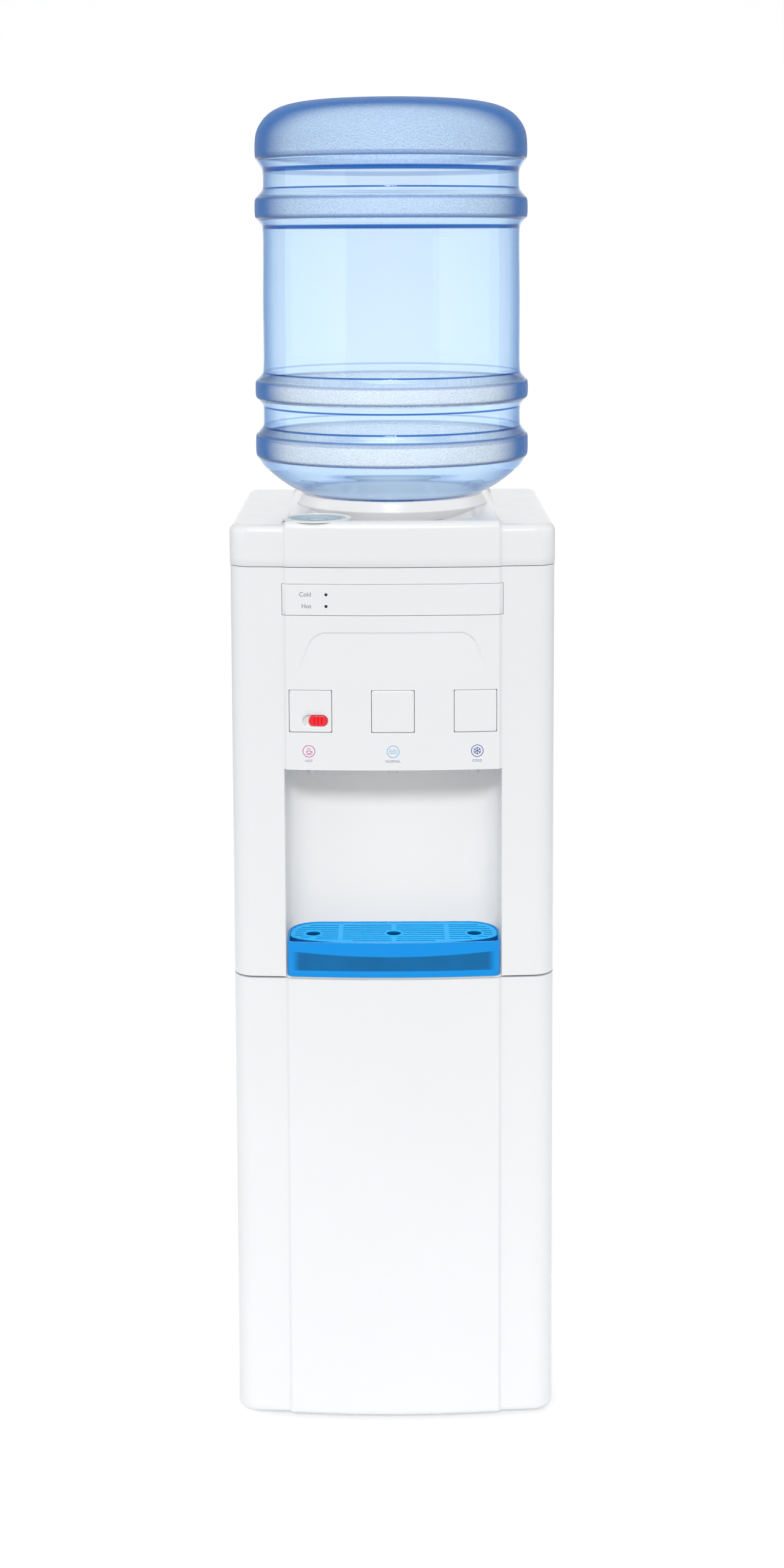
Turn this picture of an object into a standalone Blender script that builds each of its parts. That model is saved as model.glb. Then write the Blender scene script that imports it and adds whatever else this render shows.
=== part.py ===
"""Bottled water dispenser: a floor-standing cabinet with three push-button taps and an upturned bottle.

Metres, +Z up. The front faces -Y, and the origin is on the floor under the middle of the whole object.
"""

from math import atan2, ceil, cos, floor, hypot, pi, radians, sin, sqrt

import bmesh
import bpy
from mathutils import Matrix, Vector

# Clearances shared by all pieces
GAP = 0.0003  # between two pieces that touch
OVERRUN = 0.004  # how far a cutter passes the face it opens
SHEET = 0.0010  # steel sheet of the side panels and the back

# Whole body
WIDTH = 0.324
DEPTH = 0.322  # from the bulge of the front to the back panel
FOOT_HEIGHT = 0.010
DOOR_HEIGHT = 0.4620
DOOR_GAP = 0.0020
RECESS_HEIGHT = 0.2135  # from the bottom of the fascia to its lower edge over the recess
UPPER_FASCIA_HEIGHT = 0.2035
COVER_GAP = 0.0006
COVER_HEIGHT = 0.0409  # to the shoulders of the deck
PLATEAU_RISE = 0.0044
COVER_PROUD = 0.00065

# Front section in plan: a bowed middle, a step on each side of it, side parts and round corners
BULGE_HALF_WIDTH = 0.1057
BULGE_RISE = 0.0052
STEP_WIDTH = 0.0028
STEP_DEPTH = 0.0028
SIDE_SWEEP = 0.0018
CORNER_RADIUS = 0.022
BULGE_STEPS = 6
CORNER_STEPS = 5
FRAME_SETBACK = 0.0463  # from the bulge to the front of the side panels

# Fascia
FASCIA_WALL = 0.0030
RECESS_HALF_WIDTH = 0.1088
RELIEF_DEPTH = 0.0014
RELIEF_TOP_HALF_WIDTH = 0.079
RELIEF_BOTTOM_HALF_WIDTH = 0.098
RELIEF_HEIGHT = 0.049
RELIEF_DROP = 0.0645  # from the top of the fascia to the top of the relief
RELIEF_CORNER = 0.013
RELIEF_COLUMNS = 16

# Label plate and its two lamps
PLATE_HALF_WIDTH = 0.1095
PLATE_HEIGHT = 0.031
PLATE_DROP = 0.0165  # from the top of the fascia
PLATE_DEPTH = 0.0015
PLATE_GAP = 0.00035
LAMP_X = -0.0657
LAMP_DROPS = (0.0102, 0.0219)  # from the top edge of the plate
LAMP_RADIUS = 0.00175
LAMP_LENGTH = 0.0034
LAMP_PROUD = 0.0005
LAMP_CLEARANCE = 0.0002

# Push buttons
BUTTON_SIDE = 0.0420
BUTTON_PITCH = 0.0820
BUTTON_GAP = 0.0005
BUTTON_RISE = 0.0595  # centre above the lower edge of the fascia
BUTTON_DEPTH = 0.0120
BUTTON_WALL = 0.0016
BUTTON_FACE = 0.0068  # back of the face's wall, behind the bulge
BUTTON_TRAVEL = 0.0040
BOSS_RADIUS = 0.0040
BOSS_REACH = 0.0215  # rear end of the boss, behind the bulge

# Child lock slider in the hot button
SLIDER_LENGTH = 0.0190
SLIDER_HEIGHT = 0.0105
SLIDER_OFFSET = 0.0076  # from the middle of the button, towards the middle of the fascia
SLIDER_DROP = 0.0095
SLIDER_TRAVEL = 0.0050
SLIDER_PROUD = 0.0012
SLIDER_POCKET = 0.0024
SLIDER_CLEARANCE = 0.0003
SLIDER_GROOVES = 3
GROOVE_PITCH = 0.0040
GROOVE_WIDTH = 0.0012
GROOVE_DEPTH = 0.0007

# Tap bodies, plungers and springs
SPOUT_SETBACK = 0.0350
SPOUT_RADIUS = 0.0050
SPOUT_BORE = 0.0032
SPOUT_DROP = 0.0110  # below the lower edge of the fascia
SPOUT_CLEARANCE = 0.0008
SPOUT_FLANGE_RADIUS = 0.0082
SPOUT_FLANGE = 0.0020
BARREL_RADIUS = 0.0085
BARREL_LENGTH = 0.0220
PLUNGER_HEAD_RADIUS = 0.0052
PLUNGER_HEAD = 0.0015
PLUNGER_RADIUS = 0.0030
PLUNGER_LENGTH = 0.0172
PLUNGER_CLEARANCE = 0.0004
PLUNGER_STOP = 0.0007  # left between head and barrel when the button is home
SPRING_SEAT_RADIUS = 0.0062
SPRING_SEAT = 0.0082
SPRING_RADIUS = 0.0044
SPRING_WIRE = 0.00045
SPRING_TURNS = 4
SPRING_POINTS = 8
BARB_RADIUS = 0.0036
BARB_LENGTH = 0.0120
BARB_BORE = 0.0020

# Recess liner
LINER_WALL = 0.0022
RECESS_DEPTH = 0.0710
RECESS_CORNER = 0.0310

# Drip tray and grille
TRAY_HEIGHT = 0.0357
TRAY_WALL = 0.0022
TRAY_FLOOR = 0.0025
TRAY_CLEARANCE = 0.0012
TRAY_FRONT_CORNER = 0.0070
TRAY_TRAVEL = 0.0950
TRAY_POST_RADIUS = 0.0030
TRAY_POST_X = 0.0700
GRILLE_CLEARANCE = 0.0006
GRILLE_BOW = 0.0250
GRILLE_CORNER = 0.0275
GRILLE_THICKNESS = 0.0020
GRILLE_SKIRT = 0.0100
GRILLE_SKIRT_WALL = 0.0018
GRILLE_RIM = 0.0045
GRILLE_DIP = 0.0006  # below the rim of the tray
SLOT_PITCH = 0.0061
SLOT_WIDTH = 0.0027
RIB_X = 0.0540
RIB_HALF_WIDTH = 0.0024
RING_SETBACK = 0.0330
RING_RADIUS = 0.0098
RING_HOLE = 0.0076
RING_RISE = 0.0005

# Top cover
COVER_WALL = 0.0025
COVER_EDGE = 0.0080
COVER_BACK_CORNER = 0.0180
PLATEAU_EDGE = 0.0100
PLATEAU_CHAMFER = 0.0040
PAN_SETBACK = 0.0120
PAN_HALF_WIDTH = 0.0870
PAN_CORNER = 0.0400
PAN_DEPTH = 0.0094
PAN_MARGIN = 0.0030  # between the foot of the collar and the wall of the pan
WELL_X = -0.0755
WELL_SETBACK = 0.0360
WELL_WALL = 0.0025
WELL_RISE = 0.0004
WELL_DEPTH = 0.0068

# Round cap in the deck
CAP_RADIUS = 0.0280
CAP_CLEARANCE = 0.0005
CAP_DIP = 0.0004
CAP_RIM = 0.0016
CAP_DISH = 0.0036
CAP_LUG_SPACING = 0.0170
CAP_LUG_WIDTH = 0.0030
CAP_LUG_LENGTH = 0.0080
CAP_BAR_RADIUS = 0.0012
CAP_TRAVEL = 0.0220

# Bottle, from the profile of the photographed one
BOTTLE_RADIUS = 0.1430
BOTTLE_HEIGHT = 0.4095  # from its seat on the collar to the top
BOTTLE_WALL = 0.0016
BOTTLE_SEAT_RADIUS = 0.0896
BOTTLE_TRAVEL = 0.1200
NECK_RADIUS = 0.0275
NECK_TOP_DROP = 0.0330
NECK_LENGTH = 0.0500
NECK_LIP = 0.0012
BOTTLE_SEGMENTS = 28
# Height above the seat as a share of the bottle's height, and radius as a share of its greatest radius
BOTTLE_PROFILE_SHARES = (
    (0.0150, 0.7340), (0.0390, 0.8380), (0.0610, 0.9130), (0.0900, 0.9650), (0.1040, 1.0000),
    (0.1480, 1.0000), (0.1740, 0.9490), (0.2260, 0.9480), (0.2520, 1.0000), (0.2860, 1.0000),
    (0.3120, 0.9480), (0.6800, 0.9420), (0.7080, 0.9940), (0.7480, 0.9940), (0.7780, 0.9370),
    (0.8240, 0.9370), (0.8580, 0.9905), (0.8950, 0.9910), (0.9180, 0.9800), (0.9410, 0.9500),
    (0.9640, 0.8930), (0.9810, 0.8070), (0.9930, 0.6650),
)
BOTTLE_CAP_WALL = 0.0018
BOTTLE_CAP_HEIGHT = 0.0280
BOTTLE_CAP_CLEARANCE = 0.0003

# Bottle collar: outer wall, rim and funnel
COLLAR_FOOT_RADIUS = 0.0940
COLLAR_CREASE_RADIUS = 0.1005
COLLAR_RIM_RADIUS = 0.0966
COLLAR_HEIGHT = 0.0200
COLLAR_CREASE_RISE = 0.0094
COLLAR_WALL = 0.0025
COLLAR_THROAT_RADIUS = 0.0870
FUNNEL_DROP = 0.0460  # from the rim to the top of the well
FUNNEL_WELL_RADIUS = 0.0340
FUNNEL_WELL_DROP = 0.0970  # from the rim to the floor of the well
NOZZLE_RADIUS = 0.0125
NOZZLE_BORE = 0.0100
NOZZLE_LENGTH = 0.0230

# Water probe
PROBE_RADIUS = 0.0080
PROBE_BORE = 0.0052
PROBE_HEIGHT = 0.0560
PROBE_FLANGE_RADIUS = 0.0230
PROBE_FLANGE = 0.0025
PROBE_TIP = 0.0070
PROBE_SLOT = 0.0034
PROBE_SLOT_LENGTH = 0.0100
PROBE_CLEARANCE = 0.0012

# Tanks and hoses
TANK_RADIUS = 0.0590
TANK_WALL = 0.0010
TANK_FOAM = 0.0180
TANK_FRONT_CLEARANCE = 0.0148  # from the recess liner to the insulation of the tank
TANK_FLOOR = 0.0200
TANK_DROP = 0.0170  # from the floor of the well to the top of the tank
TANK_HOLE_CLEARANCE = 0.0020
HOT_TANK_RADIUS = 0.0340
HOT_TANK_HEIGHT = 0.1900
HOT_TANK_INSET = 0.0400  # from the flank to the axis of the hot tank
HOT_TANK_BACK_GAP = 0.0060
HOT_TANK_DOME = 0.0100
HOSE_RADIUS = 0.0050
HOSE_CLEARANCE = 0.0010
HOSE_REACH = 0.0400  # how strongly a hose keeps its first direction
HOSE_STRAIGHT = 0.0240  # at both ends of a hose
HOSE_POINTS = 10
COLD_HOSE_RISE = 0.1550  # above the mid deck
FEED_HOSE_RISE = 0.0450
DECK_SHEET = 0.0012
DECK_FLANGE = 0.0120

# Cabinet: foam, liner and shelf
FOAM_SIDE_GAP = 0.0035  # from the foam to the outer face of a side panel
FOAM_WALL = 0.0220
BAY_DEPTH = 0.1300  # compressor bay, from the back
BAY_HEIGHT = 0.1980
CABINET_WALL = 0.0016
CABINET_FLANGE_INSET = 0.0110
CABINET_FLANGE_MARGIN = 0.0040
SHELF_THICKNESS = 0.0035
SHELF_CLEARANCE = 0.0012
SHELF_SLOTS = 8
SHELF_SLOT_WIDTH = 0.0120
SHELF_BORDER = 0.0160
SHELF_LEDGE = 0.0060
SHELF_LEDGE_HEIGHT = 0.0040

# Side panels and back panel
SIDE_FLANGE = 0.0060
BACK_FLANGE = 0.0150
PANEL_BEND = 0.0025
BACK_PANEL_INSET = 0.0100
LOUVRE_ROWS = 6
LOUVRE_PITCH = 0.0110
LOUVRE_HEIGHT = 0.0040
LOUVRE_LENGTH = 0.0800
LOUVRE_DROP = 0.0500  # from the top of the back panel
LOUVRE_INSET = 0.0800

# Base pan and feet
PAN_SHEET = 0.0012
PAN_FLANGE = 0.0150
FOOT_RADIUS = 0.0135
FOOT_INSET_X = 0.0350
FOOT_INSET_FRONT = 0.0750
FOOT_INSET_BACK = 0.0300
FOOT_TAPER = 0.0020

# Door
DOOR_DEPTH = 0.0400
DOOR_WALL = 0.0025
DOOR_EDGE = 0.0060
DOOR_LINER = 0.0022
DOOR_LINER_RISE = 0.0100
DOOR_LINER_MARGIN = 0.0380
DOOR_LINER_SLOPE = 0.0060
GASKET_WIDTH = 0.0110
GASKET_MARGIN = 0.0155
HINGE_INSET = 0.0110  # pin from the door's flank
HINGE_SETBACK = 0.0290
HINGE_PIN_RADIUS = 0.0025
HINGE_PIN_LENGTH = 0.0080
HINGE_BOSS_WALL = 0.0030
HINGE_LEAF_HALF_WIDTH = 0.0055
HINGE_LEAF_REACH = 0.0750
HINGE_LEAF_SHEET = 0.0020

# Compressor and condenser
COMPRESSOR_RADIUS = 0.0500
COMPRESSOR_HEIGHT = 0.1320
COMPRESSOR_DOME = 0.0300
COMPRESSOR_BELT = 0.0020
COMPRESSOR_BELT_HEIGHT = 0.0060
COMPRESSOR_BACK_GAP = 0.0120
COMPRESSOR_PLATE = 0.0020
COMPRESSOR_PLATE_HALF_X = 0.0700
COMPRESSOR_PLATE_HALF_Y = 0.0450
COMPRESSOR_FOOT = 0.0100
COMPRESSOR_FOOT_RADIUS = 0.0090
CONDENSER_CLEARANCE = 0.0110
CONDENSER_TUBE = 0.0024
CONDENSER_INSET = 0.0560
CONDENSER_PITCH = 0.0620
CONDENSER_RUNS = 8
CONDENSER_RISE = 0.0300  # lowest run above the bottom of the back panel
CONDENSER_BEND_STEPS = 2
CONDENSER_TAIL_HEIGHT = 0.0900
WIRE_SIDE = 0.0016
WIRE_BITE = 0.0005
WIRE_COUNT = 12
WIRE_MARGIN = 0.00775  # from the last wire to the end of a run
CONDENSER_TAB = 0.0080
CONDENSER_TAB_SHEET = 0.0012

# Switch plate, rockers, drain and cord bush on the back
SWITCH_INSET = 0.0700
SWITCH_DROP = 0.0240
SWITCH_PLATE_HALF_X = 0.0270
SWITCH_PLATE_HALF_Z = 0.0150
SWITCH_PLATE = 0.0020
SWITCH_BODY = 0.0140
SWITCH_BODY_INSET = 0.0030
SWITCH_FLOOR = 0.0020
ROCKER_SPACING = 0.0240
ROCKER_HALF_X = 0.0060
ROCKER_HALF_Z = 0.0095
ROCKER_CLEARANCE = 0.0006
ROCKER_HORN = 0.0032
ROCKER_DIP = 0.0016
ROCKER_ROOT = 0.0050
ROCKER_TILT = radians(7)
DRAIN_RISE = 0.0200  # above the mid deck
DRAIN_RADIUS = 0.0055
DRAIN_BORE = 0.0036
DRAIN_FLANGE_RADIUS = 0.0110
DRAIN_FLANGE = 0.0020
DRAIN_REACH = 0.0100  # beyond the back panel
DRAIN_CAP_WALL = 0.0018
DRAIN_CAP_CLEARANCE = 0.0004
BUSH_INSET = 0.0320
BUSH_RISE = 0.0400  # above the bottom of the back panel
BUSH_RADIUS = 0.0095
BUSH_NECK = 0.0075
BUSH_BORE = 0.0036
BUSH_LIP = 0.0022
HOLE_CLEARANCE = 0.0004

ROUND_STEPS = 16
FINE_STEPS = 28
COARSE_STEPS = 12

# Levels above the floor, worked out from the heights
DOOR_TOP = FOOT_HEIGHT + DOOR_HEIGHT
FASCIA_BOTTOM = DOOR_TOP + DOOR_GAP
FASCIA_LIP = FASCIA_BOTTOM + RECESS_HEIGHT
FASCIA_TOP = FASCIA_LIP + UPPER_FASCIA_HEIGHT
COVER_BOTTOM = FASCIA_TOP + COVER_GAP
SHOULDER = COVER_BOTTOM + COVER_HEIGHT
PLATEAU = SHOULDER + PLATEAU_RISE
PAN_FLOOR = PLATEAU - PAN_DEPTH
COLLAR_RIM = PAN_FLOOR + GAP + COLLAR_HEIGHT
BOTTLE_SEAT = COLLAR_RIM - GAP
WELL_FLOOR = COLLAR_RIM - FUNNEL_WELL_DROP
MID_DECK_TOP = DOOR_TOP
MID_DECK_BOTTOM = MID_DECK_TOP - DECK_SHEET
RECESS_FLOOR = MID_DECK_TOP + GAP + LINER_WALL
TRAY_BOTTOM = RECESS_FLOOR + GAP
TRAY_TOP = TRAY_BOTTOM + TRAY_HEIGHT
BUTTON_LEVEL = FASCIA_LIP + BUTTON_RISE
PLATE_TOP = FASCIA_TOP - PLATE_DROP
TANK_TOP = WELL_FLOOR - TANK_DROP
FOAM_BOTTOM = FOOT_HEIGHT + PAN_SHEET + GAP
FOAM_TOP = MID_DECK_BOTTOM - GAP
BAY_TOP = FOAM_BOTTOM + BAY_HEIGHT
PANEL_BOTTOM = BAY_TOP

# Depths along +Y and half widths, from the middle of the object
CONDENSER_REACH = CONDENSER_CLEARANCE + 2 * CONDENSER_TUBE + WIRE_SIDE - WIRE_BITE
FRONT = COVER_PROUD - (COVER_PROUD + DEPTH + CONDENSER_REACH) / 2
BACK = FRONT + DEPTH
PANEL_BACK = BACK - SHEET - GAP  # outer face of the side panels' rear flanges
BOTTLE_Y = FRONT + RECESS_DEPTH + LINER_WALL + TANK_FRONT_CLEARANCE + TANK_FOAM + TANK_RADIUS
FRAME = FRONT + FRAME_SETBACK
FLANK_END = FRAME - GAP
SPOUT_Y = FRONT + SPOUT_SETBACK
BARREL_FRONT = FRONT + BOSS_REACH + GAP + PLUNGER_HEAD + BUTTON_TRAVEL + PLUNGER_STOP
STEP_X = BULGE_HALF_WIDTH + STEP_WIDTH
CORNER_X = WIDTH / 2 - CORNER_RADIUS
FOAM_HALF_WIDTH = WIDTH / 2 - FOAM_SIDE_GAP
CABINET_FLANGE_HALF_WIDTH = WIDTH / 2 - CABINET_FLANGE_INSET
BACK_PANEL_HALF_WIDTH = WIDTH / 2 - BACK_PANEL_INSET
HOT_TANK_X = HOT_TANK_INSET - WIDTH / 2
BUSH_X = WIDTH / 2 - BUSH_INSET
SWITCH_X = SWITCH_INSET - WIDTH / 2
LOUVRE_X = WIDTH / 2 - LOUVRE_INSET
CONDENSER_HALF_WIDTH = WIDTH / 2 - CONDENSER_INSET
WIRE_PITCH = 2 * (CONDENSER_HALF_WIDTH - WIRE_MARGIN) / (WIRE_COUNT - 1)
PANEL_INNER_X = WIDTH / 2 - SHEET
FOAM_BACK = PANEL_BACK - SHEET - BUSH_LIP - GAP
HINGE_X = WIDTH / 2 - HINGE_INSET
HINGE_Y = FRONT + HINGE_SETBACK
DOOR_BACK = FRONT + DOOR_DEPTH

# Colour, roughness, metallic and alpha of each finish
FINISHES = {
    "white_abs": ((0.90, 0.91, 0.93), 0.22, 0.0, 1.0),
    "white_steel": ((0.88, 0.89, 0.91), 0.35, 0.0, 1.0),
    "liner_white": ((0.82, 0.84, 0.86), 0.35, 0.0, 1.0),
    "tray_blue": ((0.01, 0.30, 0.85), 0.15, 0.0, 0.75),
    "bottle_blue": ((0.35, 0.60, 0.92), 0.08, 0.0, 0.35),
    "cap_blue": ((0.45, 0.60, 0.70), 0.20, 0.0, 0.70),
    "slider_red": ((0.78, 0.02, 0.03), 0.30, 0.0, 1.0),
    "lamp_green": ((0.02, 0.06, 0.05), 0.15, 0.0, 1.0),
    "lamp_red": ((0.07, 0.01, 0.02), 0.15, 0.0, 1.0),
    "grey_plastic": ((0.45, 0.46, 0.48), 0.45, 0.0, 1.0),
    "black_plastic": ((0.02, 0.02, 0.02), 0.40, 0.0, 1.0),
    "black_rubber": ((0.03, 0.03, 0.03), 0.80, 0.0, 1.0),
    "grey_rubber": ((0.60, 0.61, 0.63), 0.70, 0.0, 1.0),
    "silicone": ((0.85, 0.86, 0.86), 0.45, 0.0, 0.80),
    "stainless": ((0.62, 0.62, 0.63), 0.28, 1.0, 1.0),
    "zinc_steel": ((0.55, 0.56, 0.58), 0.40, 1.0, 1.0),
    "black_steel": ((0.03, 0.03, 0.035), 0.45, 0.6, 1.0),
    "white_foam": ((0.92, 0.91, 0.88), 0.90, 0.0, 1.0),
    "rocker_red": ((0.65, 0.03, 0.03), 0.30, 0.0, 1.0),
    "rocker_green": ((0.03, 0.40, 0.10), 0.30, 0.0, 1.0),
    "spring_steel": ((0.60, 0.60, 0.62), 0.30, 1.0, 1.0),
}


# Building tools


def clear_scene():
    for thing in list(bpy.data.objects):
        bpy.data.objects.remove(thing, do_unlink=True)


def finish_material(name, finish):
    """A material of the piece's own, in one of the named finishes."""
    colour, roughness, metallic, alpha = FINISHES[finish]
    material = bpy.data.materials.new(name)
    material.use_nodes = True
    shader = material.node_tree.nodes["Principled BSDF"]
    shader.inputs["Base Color"].default_value = (*colour, 1)
    shader.inputs["Roughness"].default_value = roughness
    shader.inputs["Metallic"].default_value = metallic
    shader.inputs["Alpha"].default_value = alpha
    material.diffuse_color = (*colour, alpha)
    return material


def solid(bm, name="tool"):
    """An object from a closed bmesh, with its faces turned outwards."""
    bmesh.ops.recalc_face_normals(bm, faces=bm.faces)
    mesh = bpy.data.meshes.new(name)
    bm.to_mesh(mesh)
    bm.free()
    thing = bpy.data.objects.new(name, mesh)
    bpy.context.scene.collection.objects.link(thing)
    return thing


def turn_to(axis, across, along, height):
    """A point of a flat outline (across, along) at a height over it, for a piece that stands along an axis."""
    if axis == "x":
        return (height, across, along)
    if axis == "y":
        return (across, height, along)
    return (across, along, height)


def prism(outline, low, high, axis="z"):
    """An outline pushed from one height to another: x and y for z, x and z for y, y and z for x."""
    bm = bmesh.new()
    base = [bm.verts.new(turn_to(axis, a, b, low)) for a, b in outline]
    face = bm.faces.new(base)
    pushed = bmesh.ops.extrude_face_region(bm, geom=[face])["geom"]
    moved = [item for item in pushed if isinstance(item, bmesh.types.BMVert)]
    bmesh.ops.translate(bm, verts=moved, vec=turn_to(axis, 0, 0, high - low))
    return solid(bm)


def block(x, y, z):
    """A box from three (low, high) pairs."""
    return prism([(x[0], y[0]), (x[1], y[0]), (x[1], y[1]), (x[0], y[1])], z[0], z[1])


def loft(rings):
    """A skin over closed rings of equally many points, with a face over each end."""
    bm = bmesh.new()
    loops = [[bm.verts.new(point) for point in ring] for ring in rings]
    count = len(loops[0])
    for lower, upper in zip(loops, loops[1:]):
        for i in range(count):
            j = (i + 1) % count
            bm.faces.new((lower[i], lower[j], upper[j], upper[i]))
    bm.faces.new(loops[0])
    bm.faces.new(loops[-1])
    return solid(bm)


def turned(profile, x=0.0, y=0.0, z=0.0, axis="z", steps=ROUND_STEPS):
    """A profile of (radius, height) points spun round an axis through (x, y, z).

    A profile that starts and ends on the axis is open there; any other is closed into a ring.
    """
    bm = bmesh.new()
    verts = [bm.verts.new((radius, 0, height)) for radius, height in profile]
    edges = [bm.edges.new(pair) for pair in zip(verts, verts[1:])]
    if profile[0][0] > 0 or profile[-1][0] > 0:
        edges.append(bm.edges.new((verts[-1], verts[0])))
    bmesh.ops.spin(
        bm, geom=verts + edges, cent=(0, 0, 0), axis=(0, 0, 1), angle=2 * pi, steps=steps, use_merge=True
    )
    bmesh.ops.remove_doubles(bm, verts=bm.verts, dist=GAP / 100)
    if axis == "y":
        bmesh.ops.rotate(bm, verts=bm.verts, cent=(0, 0, 0), matrix=Matrix.Rotation(-pi / 2, 3, "X"))
    bmesh.ops.translate(bm, verts=bm.verts, vec=(x, y, z))
    return solid(bm)


def rod(radius, low, high, x=0.0, y=0.0, z=0.0, axis="z", steps=ROUND_STEPS):
    """A round bar between two heights on an axis."""
    return turned([(0, low), (radius, low), (radius, high), (0, high)], x, y, z, axis, steps)


def tube(points, radius, resolution=1):
    """A round bar along a list of points."""
    curve = bpy.data.curves.new("tube", "CURVE")
    curve.dimensions = "3D"
    curve.bevel_depth = radius
    curve.bevel_resolution = resolution
    curve.use_fill_caps = True
    spline = curve.splines.new("POLY")
    spline.points.add(len(points) - 1)
    for place, point in zip(spline.points, points):
        place.co = (*point, 1)
    line = bpy.data.objects.new("tube", curve)
    bpy.context.scene.collection.objects.link(line)
    bpy.context.view_layer.update()
    mesh = bpy.data.meshes.new_from_object(line.evaluated_get(bpy.context.evaluated_depsgraph_get()))
    bpy.data.objects.remove(line, do_unlink=True)
    bm = bmesh.new()
    bm.from_mesh(mesh)
    bpy.data.meshes.remove(mesh)
    bmesh.ops.remove_doubles(bm, verts=bm.verts, dist=GAP / 100)
    return solid(bm)


def combined(target, tool, operation):
    """The target after a Boolean with a tool, which is used up."""
    change = target.modifiers.new(operation, "BOOLEAN")
    change.operation = operation
    change.solver = "EXACT"
    change.object = tool
    bpy.context.view_layer.update()
    mesh = bpy.data.meshes.new_from_object(target.evaluated_get(bpy.context.evaluated_depsgraph_get()))
    target.modifiers.clear()
    bm = bmesh.new()
    bm.from_mesh(mesh)
    bmesh.ops.remove_doubles(bm, verts=bm.verts, dist=GAP / 100)
    bmesh.ops.dissolve_degenerate(bm, edges=bm.edges, dist=GAP / 1000)
    bm.to_mesh(mesh)
    bm.free()
    target.data = mesh
    bpy.data.objects.remove(tool, do_unlink=True)
    return target


def cut(target, *tools):
    for tool in tools:
        combined(target, tool, "DIFFERENCE")
    return target


def join(target, *tools):
    for tool in tools:
        combined(target, tool, "UNION")
    return target


def gathered(things):
    """Separate solids in one object, for use as one cutter."""
    bm = bmesh.new()
    for thing in things:
        bm.from_mesh(thing.data)
        bpy.data.objects.remove(thing, do_unlink=True)
    return solid(bm)


def piece(thing, name, finish, origin=(0, 0, 0)):
    """Names a finished solid, gives it its material, and sets its origin."""
    thing.name = name
    thing.data.name = name
    thing.data.transform(Matrix.Translation(-Vector(origin)))
    thing.location = origin
    thing.data.materials.clear()
    thing.data.materials.append(finish_material(name, finish))
    thing.data.shade_smooth()
    thing.data.set_sharp_from_angle(angle=radians(32))
    return thing


# Outlines


def arc(centre_x, centre_y, radius, start, end, steps):
    """Points on an arc from one angle to another, in degrees."""
    angles = [radians(start + (end - start) * i / steps) for i in range(steps + 1)]
    return [(centre_x + radius * cos(a), centre_y + radius * sin(a)) for a in angles]


def rounded_box(left, right, low, high, radius, steps=4):
    """A rectangle with round corners."""
    return (
        arc(right - radius, low + radius, radius, -90, 0, steps)
        + arc(right - radius, high - radius, radius, 0, 90, steps)
        + arc(left + radius, high - radius, radius, 90, 180, steps)
        + arc(left + radius, low + radius, radius, 180, 270, steps)
    )


def stadium(left, right, middle, half_height, steps=6):
    """A slot shape with round ends."""
    return arc(right - half_height, middle, half_height, -90, 90, steps) + arc(
        left + half_height, middle, half_height, 90, 270, steps
    )


def bent_line(corners, radius, steps):
    """A line through corners, each rounded to a radius."""
    points = [Vector(corners[0])]
    for before, corner, after in zip(corners, corners[1:], corners[2:]):
        corner = Vector(corner)
        back = (Vector(before) - corner).normalized()
        on = (Vector(after) - corner).normalized()
        half = back.angle(on) / 2
        reach = radius / abs(sin(half) / cos(half))
        centre = corner + (back + on).normalized() * (radius / sin(half))
        start = corner + back * reach - centre
        end = corner + on * reach - centre
        points += [centre + start.slerp(end, i / steps).normalized() * radius for i in range(steps + 1)]
    points.append(Vector(corners[-1]))
    return points


def ribbon(path, thickness):
    """The outline of a sheet: a path of (x, y) points and the same path moved to its left."""
    moved = []
    for i, point in enumerate(path):
        here = Vector(point)
        before = Vector(path[i - 1]) if i else None
        after = Vector(path[i + 1]) if i + 1 < len(path) else None
        sides = []
        for start, end in ((before, here), (here, after)):
            if start is not None and end is not None and (end - start).length > 0:
                run = (end - start).normalized()
                sides.append(Vector((-run.y, run.x)))
        way = sum(sides, Vector((0, 0))).normalized()
        moved.append(here + way * (thickness / way.dot(sides[0])))
    return [tuple(point) for point in path] + [tuple(point) for point in reversed(moved)]


def face_depth(x):
    """How far the front surface lies behind the foremost line at x: bulge, step, then the swept side."""
    x = abs(x)
    if x <= BULGE_HALF_WIDTH:
        return BULGE_RISE * (x / BULGE_HALF_WIDTH) ** 2
    if x <= STEP_X:
        return BULGE_RISE + STEP_DEPTH * (x - BULGE_HALF_WIDTH) / STEP_WIDTH
    return BULGE_RISE + STEP_DEPTH + SIDE_SWEEP * (x - STEP_X) / (CORNER_X - STEP_X)


def front_run(left, right, inset=0.0):
    """Points of the front surface from left to right, moved back by an inset."""
    stations = [BULGE_HALF_WIDTH * i / BULGE_STEPS for i in range(-BULGE_STEPS, BULGE_STEPS + 1)]
    stations = [-STEP_X] + stations + [STEP_X]
    between = [x for x in stations if left < x < right]
    return [(x, FRONT + inset + face_depth(x)) for x in [left, *between, right]]


def front_outline(inset, back, half_width=WIDTH / 2):
    """The front surface with its round corners and flanks, closed along a straight back."""
    corner = half_width - CORNER_RADIUS
    radius = CORNER_RADIUS - inset
    centre_y = FRONT + face_depth(CORNER_X) + CORNER_RADIUS
    return (
        [(-half_width + inset, back)]
        + arc(-corner, centre_y, radius, 180, 270, CORNER_STEPS)[:-1]
        + front_run(-CORNER_X, CORNER_X, inset)
        + arc(corner, centre_y, radius, 270, 360, CORNER_STEPS)[1:]
        + [(half_width - inset, back)]
    )


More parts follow.
